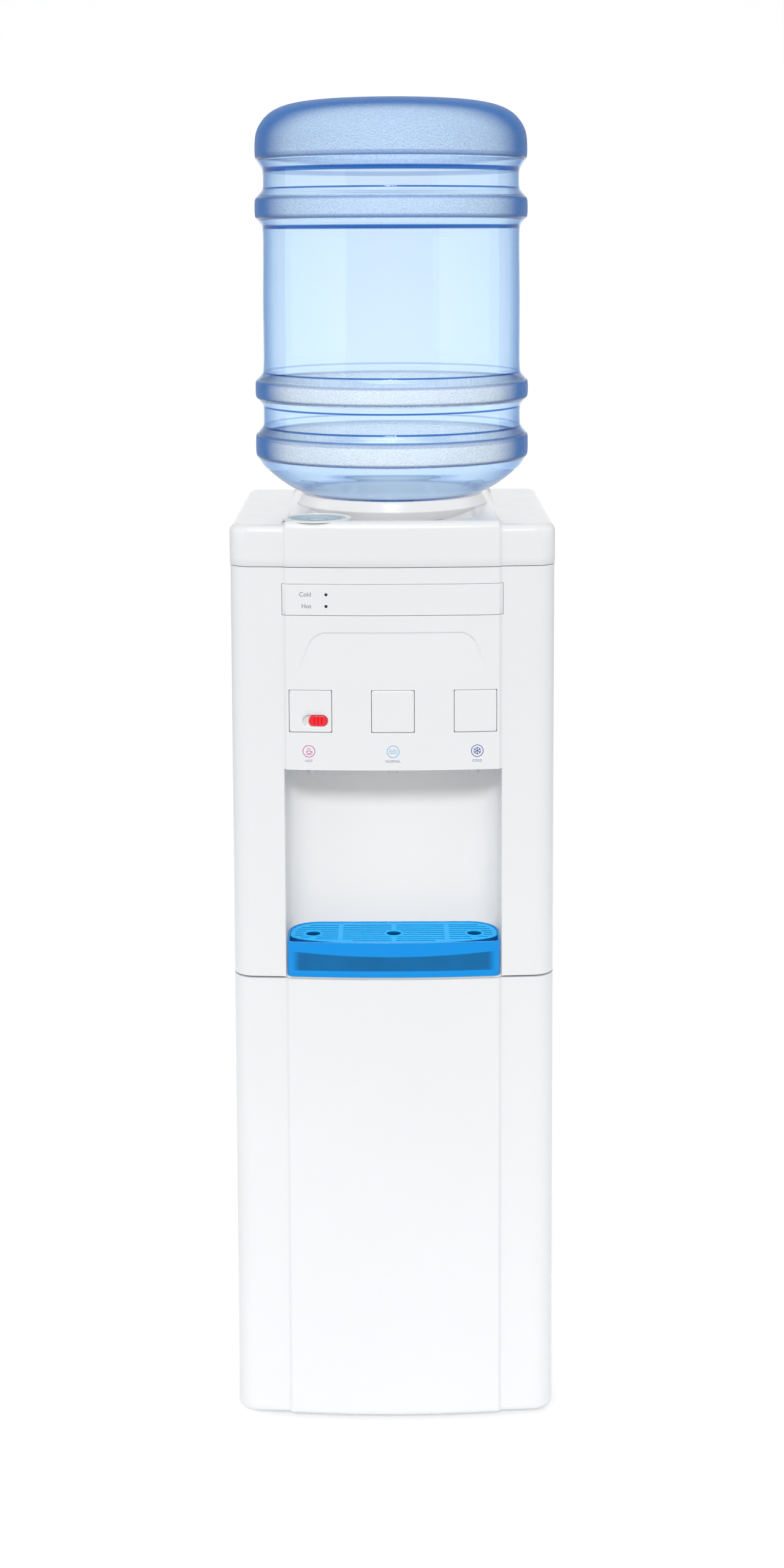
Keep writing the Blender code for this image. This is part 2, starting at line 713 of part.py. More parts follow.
def bay_outline(half_width, back, back_corner, inset, front_corner=0.0):
    """The recess in plan: the bulged front, straight sides and large round corners behind."""
    if front_corner > 0:
        end = half_width - front_corner
        centre_y = FRONT + inset + face_depth(end) + front_corner
        front = (
            arc(-end, centre_y, front_corner, 180, 270, 4)[:-1]
            + front_run(-end, end, inset)
            + arc(end, centre_y, front_corner, 270, 360, 4)[1:]
        )
    else:
        front = front_run(-half_width, half_width, inset)
    centre_x = half_width - back_corner
    return (
        front
        + arc(centre_x, back - back_corner, back_corner, 0, 90, 6)
        + arc(-centre_x, back - back_corner, back_corner, 90, 180, 6)
    )


# Front: fascia, label plate, lamps and buttons


def relief_tool():
    """The shallow panel of the fascia: deepest at its top edge and running out at its foot."""
    top = FASCIA_TOP - RELIEF_DROP
    rings = []
    for i in range(RELIEF_COLUMNS + 1):
        share = 2 * i / RELIEF_COLUMNS - 1
        top_x = share * RELIEF_TOP_HALF_WIDTH
        foot_x = share * RELIEF_BOTTOM_HALF_WIDTH
        beside = max(0.0, abs(top_x) - (RELIEF_TOP_HALF_WIDTH - RELIEF_CORNER))
        corner = RELIEF_CORNER - sqrt(max(0.0, RELIEF_CORNER**2 - beside**2))
        height = RELIEF_HEIGHT - corner
        high_x = foot_x + (top_x - foot_x) * height / RELIEF_HEIGHT
        high_z = top - corner
        foot_z = top - RELIEF_HEIGHT
        depth = RELIEF_DEPTH * height / RELIEF_HEIGHT
        rings.append([
            (foot_x, FRONT - OVERRUN, foot_z),
            (foot_x, FRONT + face_depth(foot_x), foot_z),
            (high_x, FRONT + face_depth(high_x) + depth, high_z),
            (high_x, FRONT - OVERRUN, high_z),
        ])
    return loft(rings)


def lamp_places():
    """Where the lamps sit on the label plate."""
    y = FRONT + face_depth(LAMP_X)
    return [(LAMP_X, y, PLATE_TOP - drop) for drop in LAMP_DROPS]


def front_fascia():
    outer = front_outline(0.0, FLANK_END)
    inner = front_outline(FASCIA_WALL, FLANK_END)
    shell = prism(outer + inner[::-1], FASCIA_BOTTOM, FASCIA_TOP)
    wall_back = FRONT + BULGE_RISE + STEP_DEPTH + FASCIA_WALL + OVERRUN
    cut(shell, block(
        (-RECESS_HALF_WIDTH, RECESS_HALF_WIDTH), (FRONT - OVERRUN, wall_back), (FASCIA_BOTTOM - OVERRUN, FASCIA_LIP)
    ))
    windows = []
    half = BUTTON_SIDE / 2 + BUTTON_GAP
    for x in (-BUTTON_PITCH, 0, BUTTON_PITCH):
        windows.append(block(
            (x - half, x + half), (FRONT - OVERRUN, wall_back), (BUTTON_LEVEL - half, BUTTON_LEVEL + half)
        ))
    cut(shell, gathered(windows))
    width = PLATE_HALF_WIDTH + PLATE_GAP
    pocket = front_run(-width, width, -OVERRUN) + front_run(-width, width, PLATE_DEPTH)[::-1]
    cut(shell, prism(pocket, PLATE_TOP - PLATE_HEIGHT - PLATE_GAP, PLATE_TOP + PLATE_GAP))
    cut(shell, relief_tool())
    lamps = [rod(LAMP_RADIUS + LAMP_CLEARANCE, -OVERRUN, OVERRUN, *place, "y") for place in lamp_places()]
    cut(shell, gathered(lamps))
    return piece(shell, "front_fascia", "white_abs")


def label_plate():
    outline = front_run(-PLATE_HALF_WIDTH, PLATE_HALF_WIDTH) + front_run(
        -PLATE_HALF_WIDTH, PLATE_HALF_WIDTH, PLATE_DEPTH - GAP
    )[::-1]
    plate = prism(outline, PLATE_TOP - PLATE_HEIGHT, PLATE_TOP)
    holes = [rod(LAMP_RADIUS + LAMP_CLEARANCE, -OVERRUN, OVERRUN, *place, "y") for place in lamp_places()]
    cut(plate, gathered(holes))
    piece(plate, "label_plate", "white_abs")
    for name, finish, place in zip(("cold_lamp", "hot_lamp"), ("lamp_green", "lamp_red"), lamp_places()):
        dome = [(0, -LAMP_PROUD), (LAMP_RADIUS * cos(pi / 4), -LAMP_PROUD * sin(pi / 4)), (LAMP_RADIUS, 0)]
        lens = turned(
            dome + [(LAMP_RADIUS, LAMP_LENGTH), (0, LAMP_LENGTH)], *place, axis="y", steps=COARSE_STEPS
        )
        piece(lens, name, finish)


def slider_places():
    """The child lock's middle, pocket floor and front, as x, z and two depths."""
    x = -BUTTON_PITCH + SLIDER_OFFSET
    surface = FRONT + face_depth(x)
    return x, BUTTON_LEVEL - SLIDER_DROP, surface + SLIDER_POCKET, surface - SLIDER_PROUD


def button(name, x):
    """A hollow square key whose face follows the bulge, with a boss that pushes the tap's plunger."""
    half = BUTTON_SIDE / 2
    back = FRONT + BUTTON_DEPTH
    outline = front_run(x - half, x + half) + [(x + half, back), (x - half, back)]
    key = prism(outline, BUTTON_LEVEL - half, BUTTON_LEVEL + half)
    inner = half - BUTTON_WALL
    hollow = block(
        (x - inner, x + inner),
        (FRONT + BUTTON_FACE, back + OVERRUN),
        (BUTTON_LEVEL - inner, BUTTON_LEVEL + inner),
    )
    cut(key, hollow)
    join(key, rod(
        BOSS_RADIUS, FRONT + BUTTON_FACE - BUTTON_WALL / 2, FRONT + BOSS_REACH, x, 0, BUTTON_LEVEL, "y", COARSE_STEPS
    ))
    if name == "hot_button":
        slider_x, z, floor_y, _ = slider_places()
        left = slider_x - SLIDER_LENGTH / 2 - SLIDER_TRAVEL - SLIDER_CLEARANCE
        right = slider_x + SLIDER_LENGTH / 2 + SLIDER_CLEARANCE
        slot = stadium(left, right, z, SLIDER_HEIGHT / 2 + SLIDER_CLEARANCE)
        cut(key, prism(slot, FRONT - OVERRUN, floor_y, "y"))
    return piece(key, name, "white_abs", (x, FRONT, BUTTON_LEVEL))


def child_lock_slider():
    x, z, floor_y, front_y = slider_places()
    outline = stadium(x - SLIDER_LENGTH / 2, x + SLIDER_LENGTH / 2, z, SLIDER_HEIGHT / 2)
    slider = prism(outline, front_y, floor_y - GAP, "y")
    grooves = []
    for i in range(SLIDER_GROOVES):
        groove_x = x + (i - (SLIDER_GROOVES - 1) / 2) * GROOVE_PITCH
        grooves.append(block(
            (groove_x - GROOVE_WIDTH / 2, groove_x + GROOVE_WIDTH / 2),
            (front_y - OVERRUN, front_y + GROOVE_DEPTH),
            (z - SLIDER_HEIGHT / 2 + GROOVE_WIDTH, z + SLIDER_HEIGHT / 2 - GROOVE_WIDTH),
        ))
    cut(slider, gathered(grooves))
    return piece(slider, "child_lock_slider", "slider_red", (x, front_y, z))


# Taps


def tap(tap_name, plunger_name, spring_name, x):
    """A spout under a valve barrel, with the plunger that the button pushes and its return spring.

    The coil is drawn at the length it has when the button is in.
    """
    z = BUTTON_LEVEL
    back = BARREL_FRONT + BARREL_LENGTH
    stem_end = BARREL_FRONT - PLUNGER_STOP + PLUNGER_LENGTH
    bore = PLUNGER_RADIUS + PLUNGER_CLEARANCE
    seat_floor = BARREL_FRONT + SPRING_SEAT
    body = turned(
        [(SPRING_SEAT_RADIUS, BARREL_FRONT), (BARREL_RADIUS, BARREL_FRONT), (BARREL_RADIUS, back),
         (BARB_RADIUS, back), (BARB_RADIUS, back + BARB_LENGTH), (BARB_BORE, back + BARB_LENGTH),
         (BARB_BORE, stem_end), (bore, stem_end), (bore, seat_floor), (SPRING_SEAT_RADIUS, seat_floor)],
        x, 0, z, "y",
    )
    tip = FASCIA_LIP - SPOUT_DROP
    seat = FASCIA_LIP + LINER_WALL + GAP
    top = z - SPRING_SEAT_RADIUS - 2 * GAP
    spout = [
        (0, tip), (SPOUT_RADIUS, tip), (SPOUT_RADIUS, seat), (SPOUT_FLANGE_RADIUS, seat),
        (SPOUT_FLANGE_RADIUS, seat + SPOUT_FLANGE), (SPOUT_RADIUS, seat + SPOUT_FLANGE), (SPOUT_RADIUS, top), (0, top),
    ]
    join(body, turned(spout, x, SPOUT_Y))
    cut(body, rod(SPOUT_BORE, tip - OVERRUN, z - PLUNGER_RADIUS / 2, x, SPOUT_Y, steps=COARSE_STEPS))
    piece(body, tap_name, "white_abs")

    head = FRONT + BOSS_REACH + GAP
    stem = [
        (0, 0), (PLUNGER_HEAD_RADIUS, 0), (PLUNGER_HEAD_RADIUS, PLUNGER_HEAD),
        (PLUNGER_RADIUS, PLUNGER_HEAD), (PLUNGER_RADIUS, PLUNGER_LENGTH), (0, PLUNGER_LENGTH),
    ]
    piece(turned(stem, x, head, z, "y", COARSE_STEPS), plunger_name, "grey_plastic", (x, head, z))

    start = head + PLUNGER_HEAD + BUTTON_TRAVEL + GAP + SPRING_WIRE
    end = BARREL_FRONT + SPRING_SEAT - GAP - SPRING_WIRE
    count = SPRING_TURNS * SPRING_POINTS
    coil = []
    for i in range(count + 1):
        turn = 2 * pi * i / SPRING_POINTS
        coil.append((
            x + SPRING_RADIUS * cos(turn), start + (end - start) * i / count, z + SPRING_RADIUS * sin(turn)
        ))
    piece(tube(coil, SPRING_WIRE, 0), spring_name, "spring_steel")


# Dispensing recess, tray and grille


def recess_liner():
    """The white inner moulding behind the tray: floor, ceiling and one wall that runs round the back."""
    outer = bay_outline(
        RECESS_HALF_WIDTH + LINER_WALL, FRONT + RECESS_DEPTH + LINER_WALL,
        RECESS_CORNER + LINER_WALL, FASCIA_WALL + GAP,
    )
    liner = prism(outer, RECESS_FLOOR - LINER_WALL, FASCIA_LIP + LINER_WALL)
    inner = bay_outline(RECESS_HALF_WIDTH, FRONT + RECESS_DEPTH, RECESS_CORNER, -OVERRUN)
    cut(liner, prism(inner, RECESS_FLOOR, FASCIA_LIP))
    holes = [
        rod(SPOUT_RADIUS + SPOUT_CLEARANCE, FASCIA_LIP - OVERRUN, FASCIA_LIP + LINER_WALL + OVERRUN, x, SPOUT_Y)
        for x in (-BUTTON_PITCH, 0, BUTTON_PITCH)
    ]
    cut(liner, gathered(holes))
    return piece(liner, "recess_liner", "liner_white")


TRAY_HALF_WIDTH = RECESS_HALF_WIDTH - TRAY_CLEARANCE
TRAY_BACK = FRONT + RECESS_DEPTH - TRAY_CLEARANCE
TRAY_CORNER = RECESS_CORNER - TRAY_CLEARANCE
GRILLE_TOP = TRAY_TOP - GRILLE_DIP
GRILLE_FOOT = GRILLE_TOP - GRILLE_SKIRT
GRILLE_HALF_WIDTH = TRAY_HALF_WIDTH - TRAY_WALL - GRILLE_CLEARANCE
GRILLE_FRONT = FRONT + TRAY_WALL + GRILLE_CLEARANCE
GRILLE_BACK = TRAY_BACK - TRAY_WALL - GRILLE_CLEARANCE


def grille_outline(inset):
    """Half an ellipse in front, straight sides, and round corners behind."""
    half = GRILLE_HALF_WIDTH - inset
    bow = GRILLE_BOW - inset
    radius = GRILLE_CORNER - inset
    middle = GRILLE_FRONT + GRILLE_BOW
    angles = [pi + pi * i / 16 for i in range(17)]
    front = [(half * cos(a), middle + bow * sin(a)) for a in angles]
    back = GRILLE_BACK - inset
    return (
        front
        + arc(half - radius, back - radius, radius, 0, 90, 5)
        + arc(radius - half, back - radius, radius, 90, 180, 5)
    )


def grille_half_chord(y, inset):
    """Half the width of the grille's outline at y, less an inset all round."""
    half = GRILLE_HALF_WIDTH - inset
    middle = GRILLE_FRONT + GRILLE_BOW
    if y < middle:
        share = min(1.0, (middle - y) / (GRILLE_BOW - inset))
        return half * sqrt(1 - share**2)
    radius = GRILLE_CORNER - inset
    over = y - (GRILLE_BACK - inset - radius)
    if over > 0:
        return half - radius + sqrt(max(0.0, radius**2 - over**2))
    return half


def open_spans(half, blocked):
    """The stretches from -half to half that are left between blocked (low, high) stretches."""
    spans = []
    start = -half
    for low, high in sorted(blocked):
        if low > start:
            spans.append((start, min(low, half)))
        start = max(start, high)
    if start < half:
        spans.append((start, half))
    return [(low, high) for low, high in spans if high - low > SLOT_WIDTH]


def drip_tray():
    outer = bay_outline(TRAY_HALF_WIDTH, TRAY_BACK, TRAY_CORNER, 0.0, TRAY_FRONT_CORNER)
    tray = prism(outer, TRAY_BOTTOM, TRAY_TOP)
    inner = bay_outline(
        TRAY_HALF_WIDTH - TRAY_WALL, TRAY_BACK - TRAY_WALL, TRAY_CORNER - TRAY_WALL,
        TRAY_WALL, TRAY_FRONT_CORNER - TRAY_WALL,
    )
    cut(tray, prism(inner, TRAY_BOTTOM + TRAY_FLOOR, TRAY_TOP + OVERRUN))
    middle = GRILLE_FRONT + GRILLE_BOW
    bow = GRILLE_BOW - GRILLE_SKIRT_WALL / 2
    front_y = middle - bow * sqrt(1 - (TRAY_POST_X / GRILLE_HALF_WIDTH) ** 2)
    back_y = GRILLE_BACK - GRILLE_SKIRT_WALL / 2
    for x in (-TRAY_POST_X, TRAY_POST_X):
        for y in (front_y, back_y):
            join(tray, rod(
                TRAY_POST_RADIUS, TRAY_BOTTOM + TRAY_FLOOR / 2, GRILLE_FOOT - GAP, x, y, steps=COARSE_STEPS
            ))
    return piece(tray, "drip_tray", "tray_blue")


def drip_grille():
    """A slotted plate on a skirt, with ribs and a ring under each spout."""
    plate = prism(grille_outline(0.0), GRILLE_FOOT, GRILLE_TOP)
    cut(plate, prism(grille_outline(GRILLE_SKIRT_WALL), GRILLE_FOOT - OVERRUN, GRILLE_TOP - GRILLE_THICKNESS))
    ring_y = FRONT + RING_SETBACK
    ring_xs = (-BUTTON_PITCH, 0, BUTTON_PITCH)
    usable = GRILLE_BACK - GRILLE_FRONT - 2 * GRILLE_RIM - SLOT_WIDTH
    rows = floor(usable / SLOT_PITCH) + 1
    first = (GRILLE_FRONT + GRILLE_BACK) / 2 - (rows - 1) * SLOT_PITCH / 2
    tools = []
    for row in range(rows):
        y = first + row * SLOT_PITCH
        low, high = y - SLOT_WIDTH / 2, y + SLOT_WIDTH / 2
        half = min(grille_half_chord(low, GRILLE_RIM), grille_half_chord(high, GRILLE_RIM))
        blocked = [(x - RIB_HALF_WIDTH, x + RIB_HALF_WIDTH) for x in (-RIB_X, 0, RIB_X)]
        nearest = max(0.0, abs(y - ring_y) - SLOT_WIDTH / 2)
        if nearest < RING_RADIUS:
            chord = sqrt(RING_RADIUS**2 - nearest**2)
            blocked += [(x - chord, x + chord) for x in ring_xs]
        for left, right in open_spans(half, blocked):
            tools.append(block((left, right), (low, high), (GRILLE_FOOT, GRILLE_TOP + OVERRUN)))
    cut(plate, gathered(tools))
    lips = [rod(RING_RADIUS, GRILLE_TOP - GRILLE_THICKNESS / 2, GRILLE_TOP + RING_RISE, x, ring_y) for x in ring_xs]
    join(plate, gathered(lips))
    holes = [rod(RING_HOLE, GRILLE_FOOT, GRILLE_TOP + OVERRUN, x, ring_y) for x in ring_xs]
    cut(plate, gathered(holes))
    return piece(plate, "drip_grille", "tray_blue", (0, ring_y, GRILLE_TOP))


# Deck: cover, cap, collar and probe


def cover_ring(inset, z, swell):
    """The shoulders of the cover in plan at one level: straight front, round corners."""
    half = WIDTH / 2 + swell - inset
    front = FRONT + face_depth(STEP_X) - swell + inset
    back = BACK + swell - inset
    front_radius = CORNER_RADIUS + swell - inset
    back_radius = COVER_BACK_CORNER + swell - inset
    outline = (
        arc(half - front_radius, front + SIDE_SWEEP + front_radius, front_radius, -90, 0, CORNER_STEPS)
        + arc(half - back_radius, back - back_radius, back_radius, 0, 90, CORNER_STEPS)
        + arc(back_radius - half, back - back_radius, back_radius, 90, 180, CORNER_STEPS)
        + arc(front_radius - half, front + SIDE_SWEEP + front_radius, front_radius, 180, 270, CORNER_STEPS)
        + [(-STEP_X, front), (STEP_X, front)]
    )
    return [(x, y, z) for x, y in outline]


def plateau_ring(front_inset, side_inset, z):
    """The raised middle of the cover in plan: bulged front, straight sides, a half circle round the bottle."""
    half = STEP_X - side_inset
    run = front_run(-STEP_X, STEP_X, front_inset - COVER_PROUD)
    front = [(x * half / STEP_X, y) for x, y in run]
    outline = front + arc(0, BOTTLE_Y, half, 0, 180, FINE_STEPS // 2)
    return [(x, y, z) for x, y in outline]


def rounded_levels(top, radius, steps=3):
    """Heights and insets of a quarter round under a top edge."""
    angles = [pi / 2 * i / steps for i in range(steps + 1)]
    return [(top - radius + radius * sin(a), radius * (1 - cos(a))) for a in angles]


def pan_tools(grow, low, high):
    """The pan round the collar: a rounded rectangle in front and a circle round the bottle."""
    half = PAN_HALF_WIDTH + grow
    front = FRONT + PAN_SETBACK - grow
    corner = PAN_CORNER + grow
    outline = (
        arc(corner - half, front + corner, corner, 180, 270, 5)
        + arc(half - corner, front + corner, corner, 270, 360, 5)
        + [(half, BOTTLE_Y), (-half, BOTTLE_Y)]
    )
    radius = COLLAR_CREASE_RADIUS + PAN_MARGIN + grow
    return prism(outline, low, high), rod(radius, low, high, 0, BOTTLE_Y, steps=FINE_STEPS)


def top_cover():
    levels = [(COVER_BOTTOM, 0.0), *rounded_levels(SHOULDER, COVER_EDGE)]
    cover = loft([cover_ring(inset, z, COVER_PROUD) for z, inset in levels])
    chamfer = PLATEAU_CHAMFER / PLATEAU_RISE
    rings = [plateau_ring(0, 0, COVER_BOTTOM)]
    for z, inset in rounded_levels(PLATEAU, PLATEAU_EDGE):
        rings.append(plateau_ring(inset, chamfer * max(0.0, z - SHOULDER), z))
    join(cover, loft(rings))

    well_radius = CAP_RADIUS + CAP_CLEARANCE
    well_y = FRONT + WELL_SETBACK
    pan_wall_low = PAN_FLOOR - COVER_WALL
    inner = [(x, y) for x, y, _ in cover_ring(COVER_WALL, 0, COVER_PROUD)]
    cut(cover, prism(inner, COVER_BOTTOM - OVERRUN, pan_wall_low))
    raised = [(x, y) for x, y, _ in cover_ring(COVER_EDGE, 0, COVER_PROUD)]
    hollow = prism(raised, pan_wall_low - COVER_WALL / 2, SHOULDER - COVER_WALL)
    cut(hollow, *pan_tools(COVER_WALL, COVER_BOTTOM, PLATEAU))
    cut(hollow, rod(well_radius + WELL_WALL + COVER_WALL, COVER_BOTTOM, PLATEAU, WELL_X, well_y))
    cut(cover, hollow)
    cut(cover, *pan_tools(0.0, PAN_FLOOR, PLATEAU + OVERRUN))
    join(cover, rod(
        well_radius + WELL_WALL, PAN_FLOOR - COVER_WALL / 2, PLATEAU + WELL_RISE, WELL_X, well_y, steps=FINE_STEPS
    ))
    cut(cover, rod(
        well_radius, PLATEAU - WELL_DEPTH, PLATEAU + OVERRUN, WELL_X, well_y, steps=FINE_STEPS
    ))
    cut(cover, rod(
        COLLAR_THROAT_RADIUS, pan_wall_low - OVERRUN, PAN_FLOOR + OVERRUN, 0, BOTTLE_Y, steps=FINE_STEPS
    ))
    return piece(cover, "top_cover", "white_abs")


def deck_cap():
    """A dished round cap with a bar between two lugs to lift it by."""
    top = PLATEAU - CAP_DIP
    bottom = PLATEAU - WELL_DEPTH + GAP
    dish = top - CAP_DISH
    y = FRONT + WELL_SETBACK
    inner = CAP_RADIUS - CAP_RIM
    profile = [(0, bottom), (CAP_RADIUS, bottom), (CAP_RADIUS, top), (inner, top), (inner - CAP_DISH, dish), (0, dish)]
    cap = turned(profile, WELL_X, y, steps=FINE_STEPS)
    lug_low = dish - (dish - bottom) / 2
    for side in (-1, 1):
        x = WELL_X + side * CAP_LUG_SPACING / 2
        join(cap, block(
            (x - CAP_LUG_WIDTH / 2, x + CAP_LUG_WIDTH / 2),
            (y - CAP_LUG_LENGTH / 2, y + CAP_LUG_LENGTH / 2),
            (lug_low, top),
        ))
    ends = [(WELL_X + side * CAP_LUG_SPACING / 2, y, top - 2 * CAP_BAR_RADIUS) for side in (-1, 1)]
    join(cap, tube(ends, CAP_BAR_RADIUS))
    return piece(cap, "deck_cap", "cap_blue", (WELL_X, y, bottom))


def bottle_collar():
    """The ring the bottle sits in, one moulding with the funnel and the well under it."""
    foot = PAN_FLOOR + GAP
    rim_inner = COLLAR_RIM_RADIUS - 2 * COLLAR_WALL
    well_top = COLLAR_RIM - FUNNEL_DROP
    outer_well = FUNNEL_WELL_RADIUS + COLLAR_WALL
    throat = COLLAR_THROAT_RADIUS - 2 * GAP
    profile = [
        (COLLAR_FOOT_RADIUS, foot),
        (COLLAR_CREASE_RADIUS, foot + COLLAR_CREASE_RISE),
        (COLLAR_CREASE_RADIUS, foot + COLLAR_CREASE_RISE + COLLAR_WALL / 2),
        (COLLAR_RIM_RADIUS, COLLAR_RIM - COLLAR_WALL / 2),
        (COLLAR_RIM_RADIUS - COLLAR_WALL / 2, COLLAR_RIM),
        (rim_inner, COLLAR_RIM),
        (rim_inner - COLLAR_WALL, COLLAR_RIM - 2 * COLLAR_WALL),
        (FUNNEL_WELL_RADIUS, well_top),
        (FUNNEL_WELL_RADIUS, WELL_FLOOR),
        (NOZZLE_BORE, WELL_FLOOR),
        (NOZZLE_BORE, WELL_FLOOR - NOZZLE_LENGTH),
        (NOZZLE_RADIUS, WELL_FLOOR - NOZZLE_LENGTH),
        (NOZZLE_RADIUS, WELL_FLOOR - COLLAR_WALL),
        (outer_well, WELL_FLOOR - COLLAR_WALL),
        (outer_well, well_top - COLLAR_WALL),
        (throat - COLLAR_WALL, foot - COLLAR_WALL),
        (throat, foot - COLLAR_WALL / 2),
        (throat, foot),
    ]
    return piece(turned(profile, y=BOTTLE_Y, steps=FINE_STEPS), "bottle_collar", "white_abs")


def water_probe():
    """The hollow spike that opens the bottle's cap, with two windows near its tip."""
    low = WELL_FLOOR + GAP
    top = low + PROBE_HEIGHT
    shaft_top = top - PROBE_TIP
    profile = [
        (PROBE_BORE, low),
        (PROBE_FLANGE_RADIUS, low),
        (PROBE_FLANGE_RADIUS, low + PROBE_FLANGE),
        (PROBE_RADIUS, low + PROBE_FLANGE),
        (PROBE_RADIUS, shaft_top),
        (PROBE_RADIUS * cos(pi / 4), shaft_top + PROBE_TIP * sin(pi / 4)),
        (0, top),
        (0, shaft_top - PROBE_TIP / 2),
        (PROBE_BORE, shaft_top - PROBE_TIP),
    ]
    bm_profile = profile[6::-1] + profile[:6:-1]
    probe = turned(bm_profile, y=BOTTLE_Y, steps=ROUND_STEPS)
    slot_top = shaft_top - PROBE_TIP
    slot = (slot_top - PROBE_SLOT_LENGTH, slot_top)
    wide = (-PROBE_RADIUS - OVERRUN, PROBE_RADIUS + OVERRUN)
    cut(probe, block(wide, (BOTTLE_Y - PROBE_SLOT / 2, BOTTLE_Y + PROBE_SLOT / 2), slot))
    return piece(probe, "water_probe", "white_abs")


# Bottle


def bottle_profile(offset):
    """The bottle's side from its mouth to the middle of its base, with an offset towards the inside."""
    neck_top = BOTTLE_SEAT - NECK_TOP_DROP
    mouth = neck_top - NECK_LENGTH
    points = [
        (NECK_RADIUS + NECK_LIP, mouth),
        (NECK_RADIUS + NECK_LIP, mouth + 2 * NECK_LIP),
        (NECK_RADIUS, mouth + 3 * NECK_LIP),
        (NECK_RADIUS, neck_top),
        (NECK_RADIUS + (BOTTLE_SEAT_RADIUS - NECK_RADIUS) * 0.12, neck_top + NECK_TOP_DROP * 0.22),
        (NECK_RADIUS + (BOTTLE_SEAT_RADIUS - NECK_RADIUS) * 0.50, neck_top + NECK_TOP_DROP * 0.62),
        (BOTTLE_SEAT_RADIUS, BOTTLE_SEAT),
    ]
    points += [(BOTTLE_RADIUS * r, BOTTLE_SEAT + BOTTLE_HEIGHT * z) for z, r in BOTTLE_PROFILE_SHARES]
    points.append((0, BOTTLE_SEAT + BOTTLE_HEIGHT))
    if not offset:
        return points
    inner = []
    for before, here, after in zip(points, points[1:], points[2:]):
        run = Vector(after) - Vector(before)
        inward = Vector((-run.y, run.x)).normalized()
        inner.append((here[0] + inward.x * offset, here[1] + inward.y * offset))
    inner[0] = (NECK_RADIUS - offset, mouth)
    inner[1] = (NECK_RADIUS - offset, inner[1][1])
    inner.append((0, BOTTLE_SEAT + BOTTLE_HEIGHT - offset))
    return inner


def bottle():
    outer = bottle_profile(0)
    inner = bottle_profile(BOTTLE_WALL)
    shell = turned(outer[::-1] + inner, y=BOTTLE_Y, steps=BOTTLE_SEGMENTS)
    return piece(shell, "bottle", "bottle_blue", (0, BOTTLE_Y, BOTTLE_SEAT))


def bottle_cap():
    """The press-on cap of the bottle, pierced by the probe."""
    mouth = BOTTLE_SEAT - NECK_TOP_DROP - NECK_LENGTH
    low = mouth - GAP - BOTTLE_CAP_WALL
    inner = NECK_RADIUS + NECK_LIP + BOTTLE_CAP_CLEARANCE
    hole = PROBE_RADIUS + PROBE_CLEARANCE
    top = low + BOTTLE_CAP_HEIGHT
    profile = [
        (hole, low), (inner + BOTTLE_CAP_WALL, low), (inner + BOTTLE_CAP_WALL, top),
        (inner, top), (inner, low + BOTTLE_CAP_WALL), (hole, low + BOTTLE_CAP_WALL),
    ]
    return piece(turned(profile, y=BOTTLE_Y, steps=BOTTLE_SEGMENTS), "bottle_cap", "white_abs", (0, BOTTLE_Y, low))


# Inside: tanks, hoses and mid deck


def hose_route(start, start_way, end, end_way):
    """A smooth line that leaves start along start_way and arrives at end along end_way."""
    mouth, last = Vector(start), Vector(end)
    start = mouth + Vector(start_way) * HOSE_STRAIGHT
    end = last - Vector(end_way) * HOSE_STRAIGHT
    first = start + Vector(start_way) * HOSE_REACH
    second = end - Vector(end_way) * HOSE_REACH
    points = [mouth]
    for i in range(HOSE_POINTS + 1):
        t = i / HOSE_POINTS
        points.append(
            start * (1 - t) ** 3 + first * 3 * t * (1 - t) ** 2 + second * 3 * t**2 * (1 - t) + end * t**3
        )
    return [*points, last]


def hot_tank_place():
    return HOT_TANK_X, PANEL_BACK - SHEET - HOT_TANK_BACK_GAP - HOT_TANK_RADIUS


def tank_side(x, y, z):
    """The point on the cold tank's wall nearest to a place, and the way to it."""
    away = Vector((x, y - BOTTLE_Y))
    away.normalize()
    reach = TANK_RADIUS + GAP
    return (away.x * reach, BOTTLE_Y + away.y * reach, z), (-away.x, -away.y, 0)


def hoses():
    """The three hoses to the taps and the one between the tanks, as routes by name."""
    rear = BARREL_FRONT + BARREL_LENGTH + BARB_LENGTH + GAP
    hot_x, hot_y = hot_tank_place()
    normal_end, _ = tank_side(0, rear, BUTTON_LEVEL)
    cold_end, cold_way = tank_side(BUTTON_PITCH, rear, MID_DECK_TOP + COLD_HOSE_RISE)
    feed_z = MID_DECK_TOP + FEED_HOSE_RISE
    feed_start, feed_way = tank_side(hot_x, hot_y, feed_z)
    hot_top = MID_DECK_TOP + GAP + HOT_TANK_HEIGHT + GAP
    feed_reach = HOT_TANK_RADIUS + GAP
    feed_end = (hot_x + feed_way[0] * feed_reach, hot_y + feed_way[1] * feed_reach, feed_z)
    return {
        "hot_hose": hose_route((-BUTTON_PITCH, rear, BUTTON_LEVEL), (0, 1, 0), (hot_x, hot_y, hot_top), (0, 0, -1)),
        "normal_hose": [(0, rear, BUTTON_LEVEL), normal_end],
        "cold_hose": hose_route((BUTTON_PITCH, rear, BUTTON_LEVEL), (0, 1, 0), cold_end, cold_way),
        "feed_hose": [feed_start, feed_end],
    }


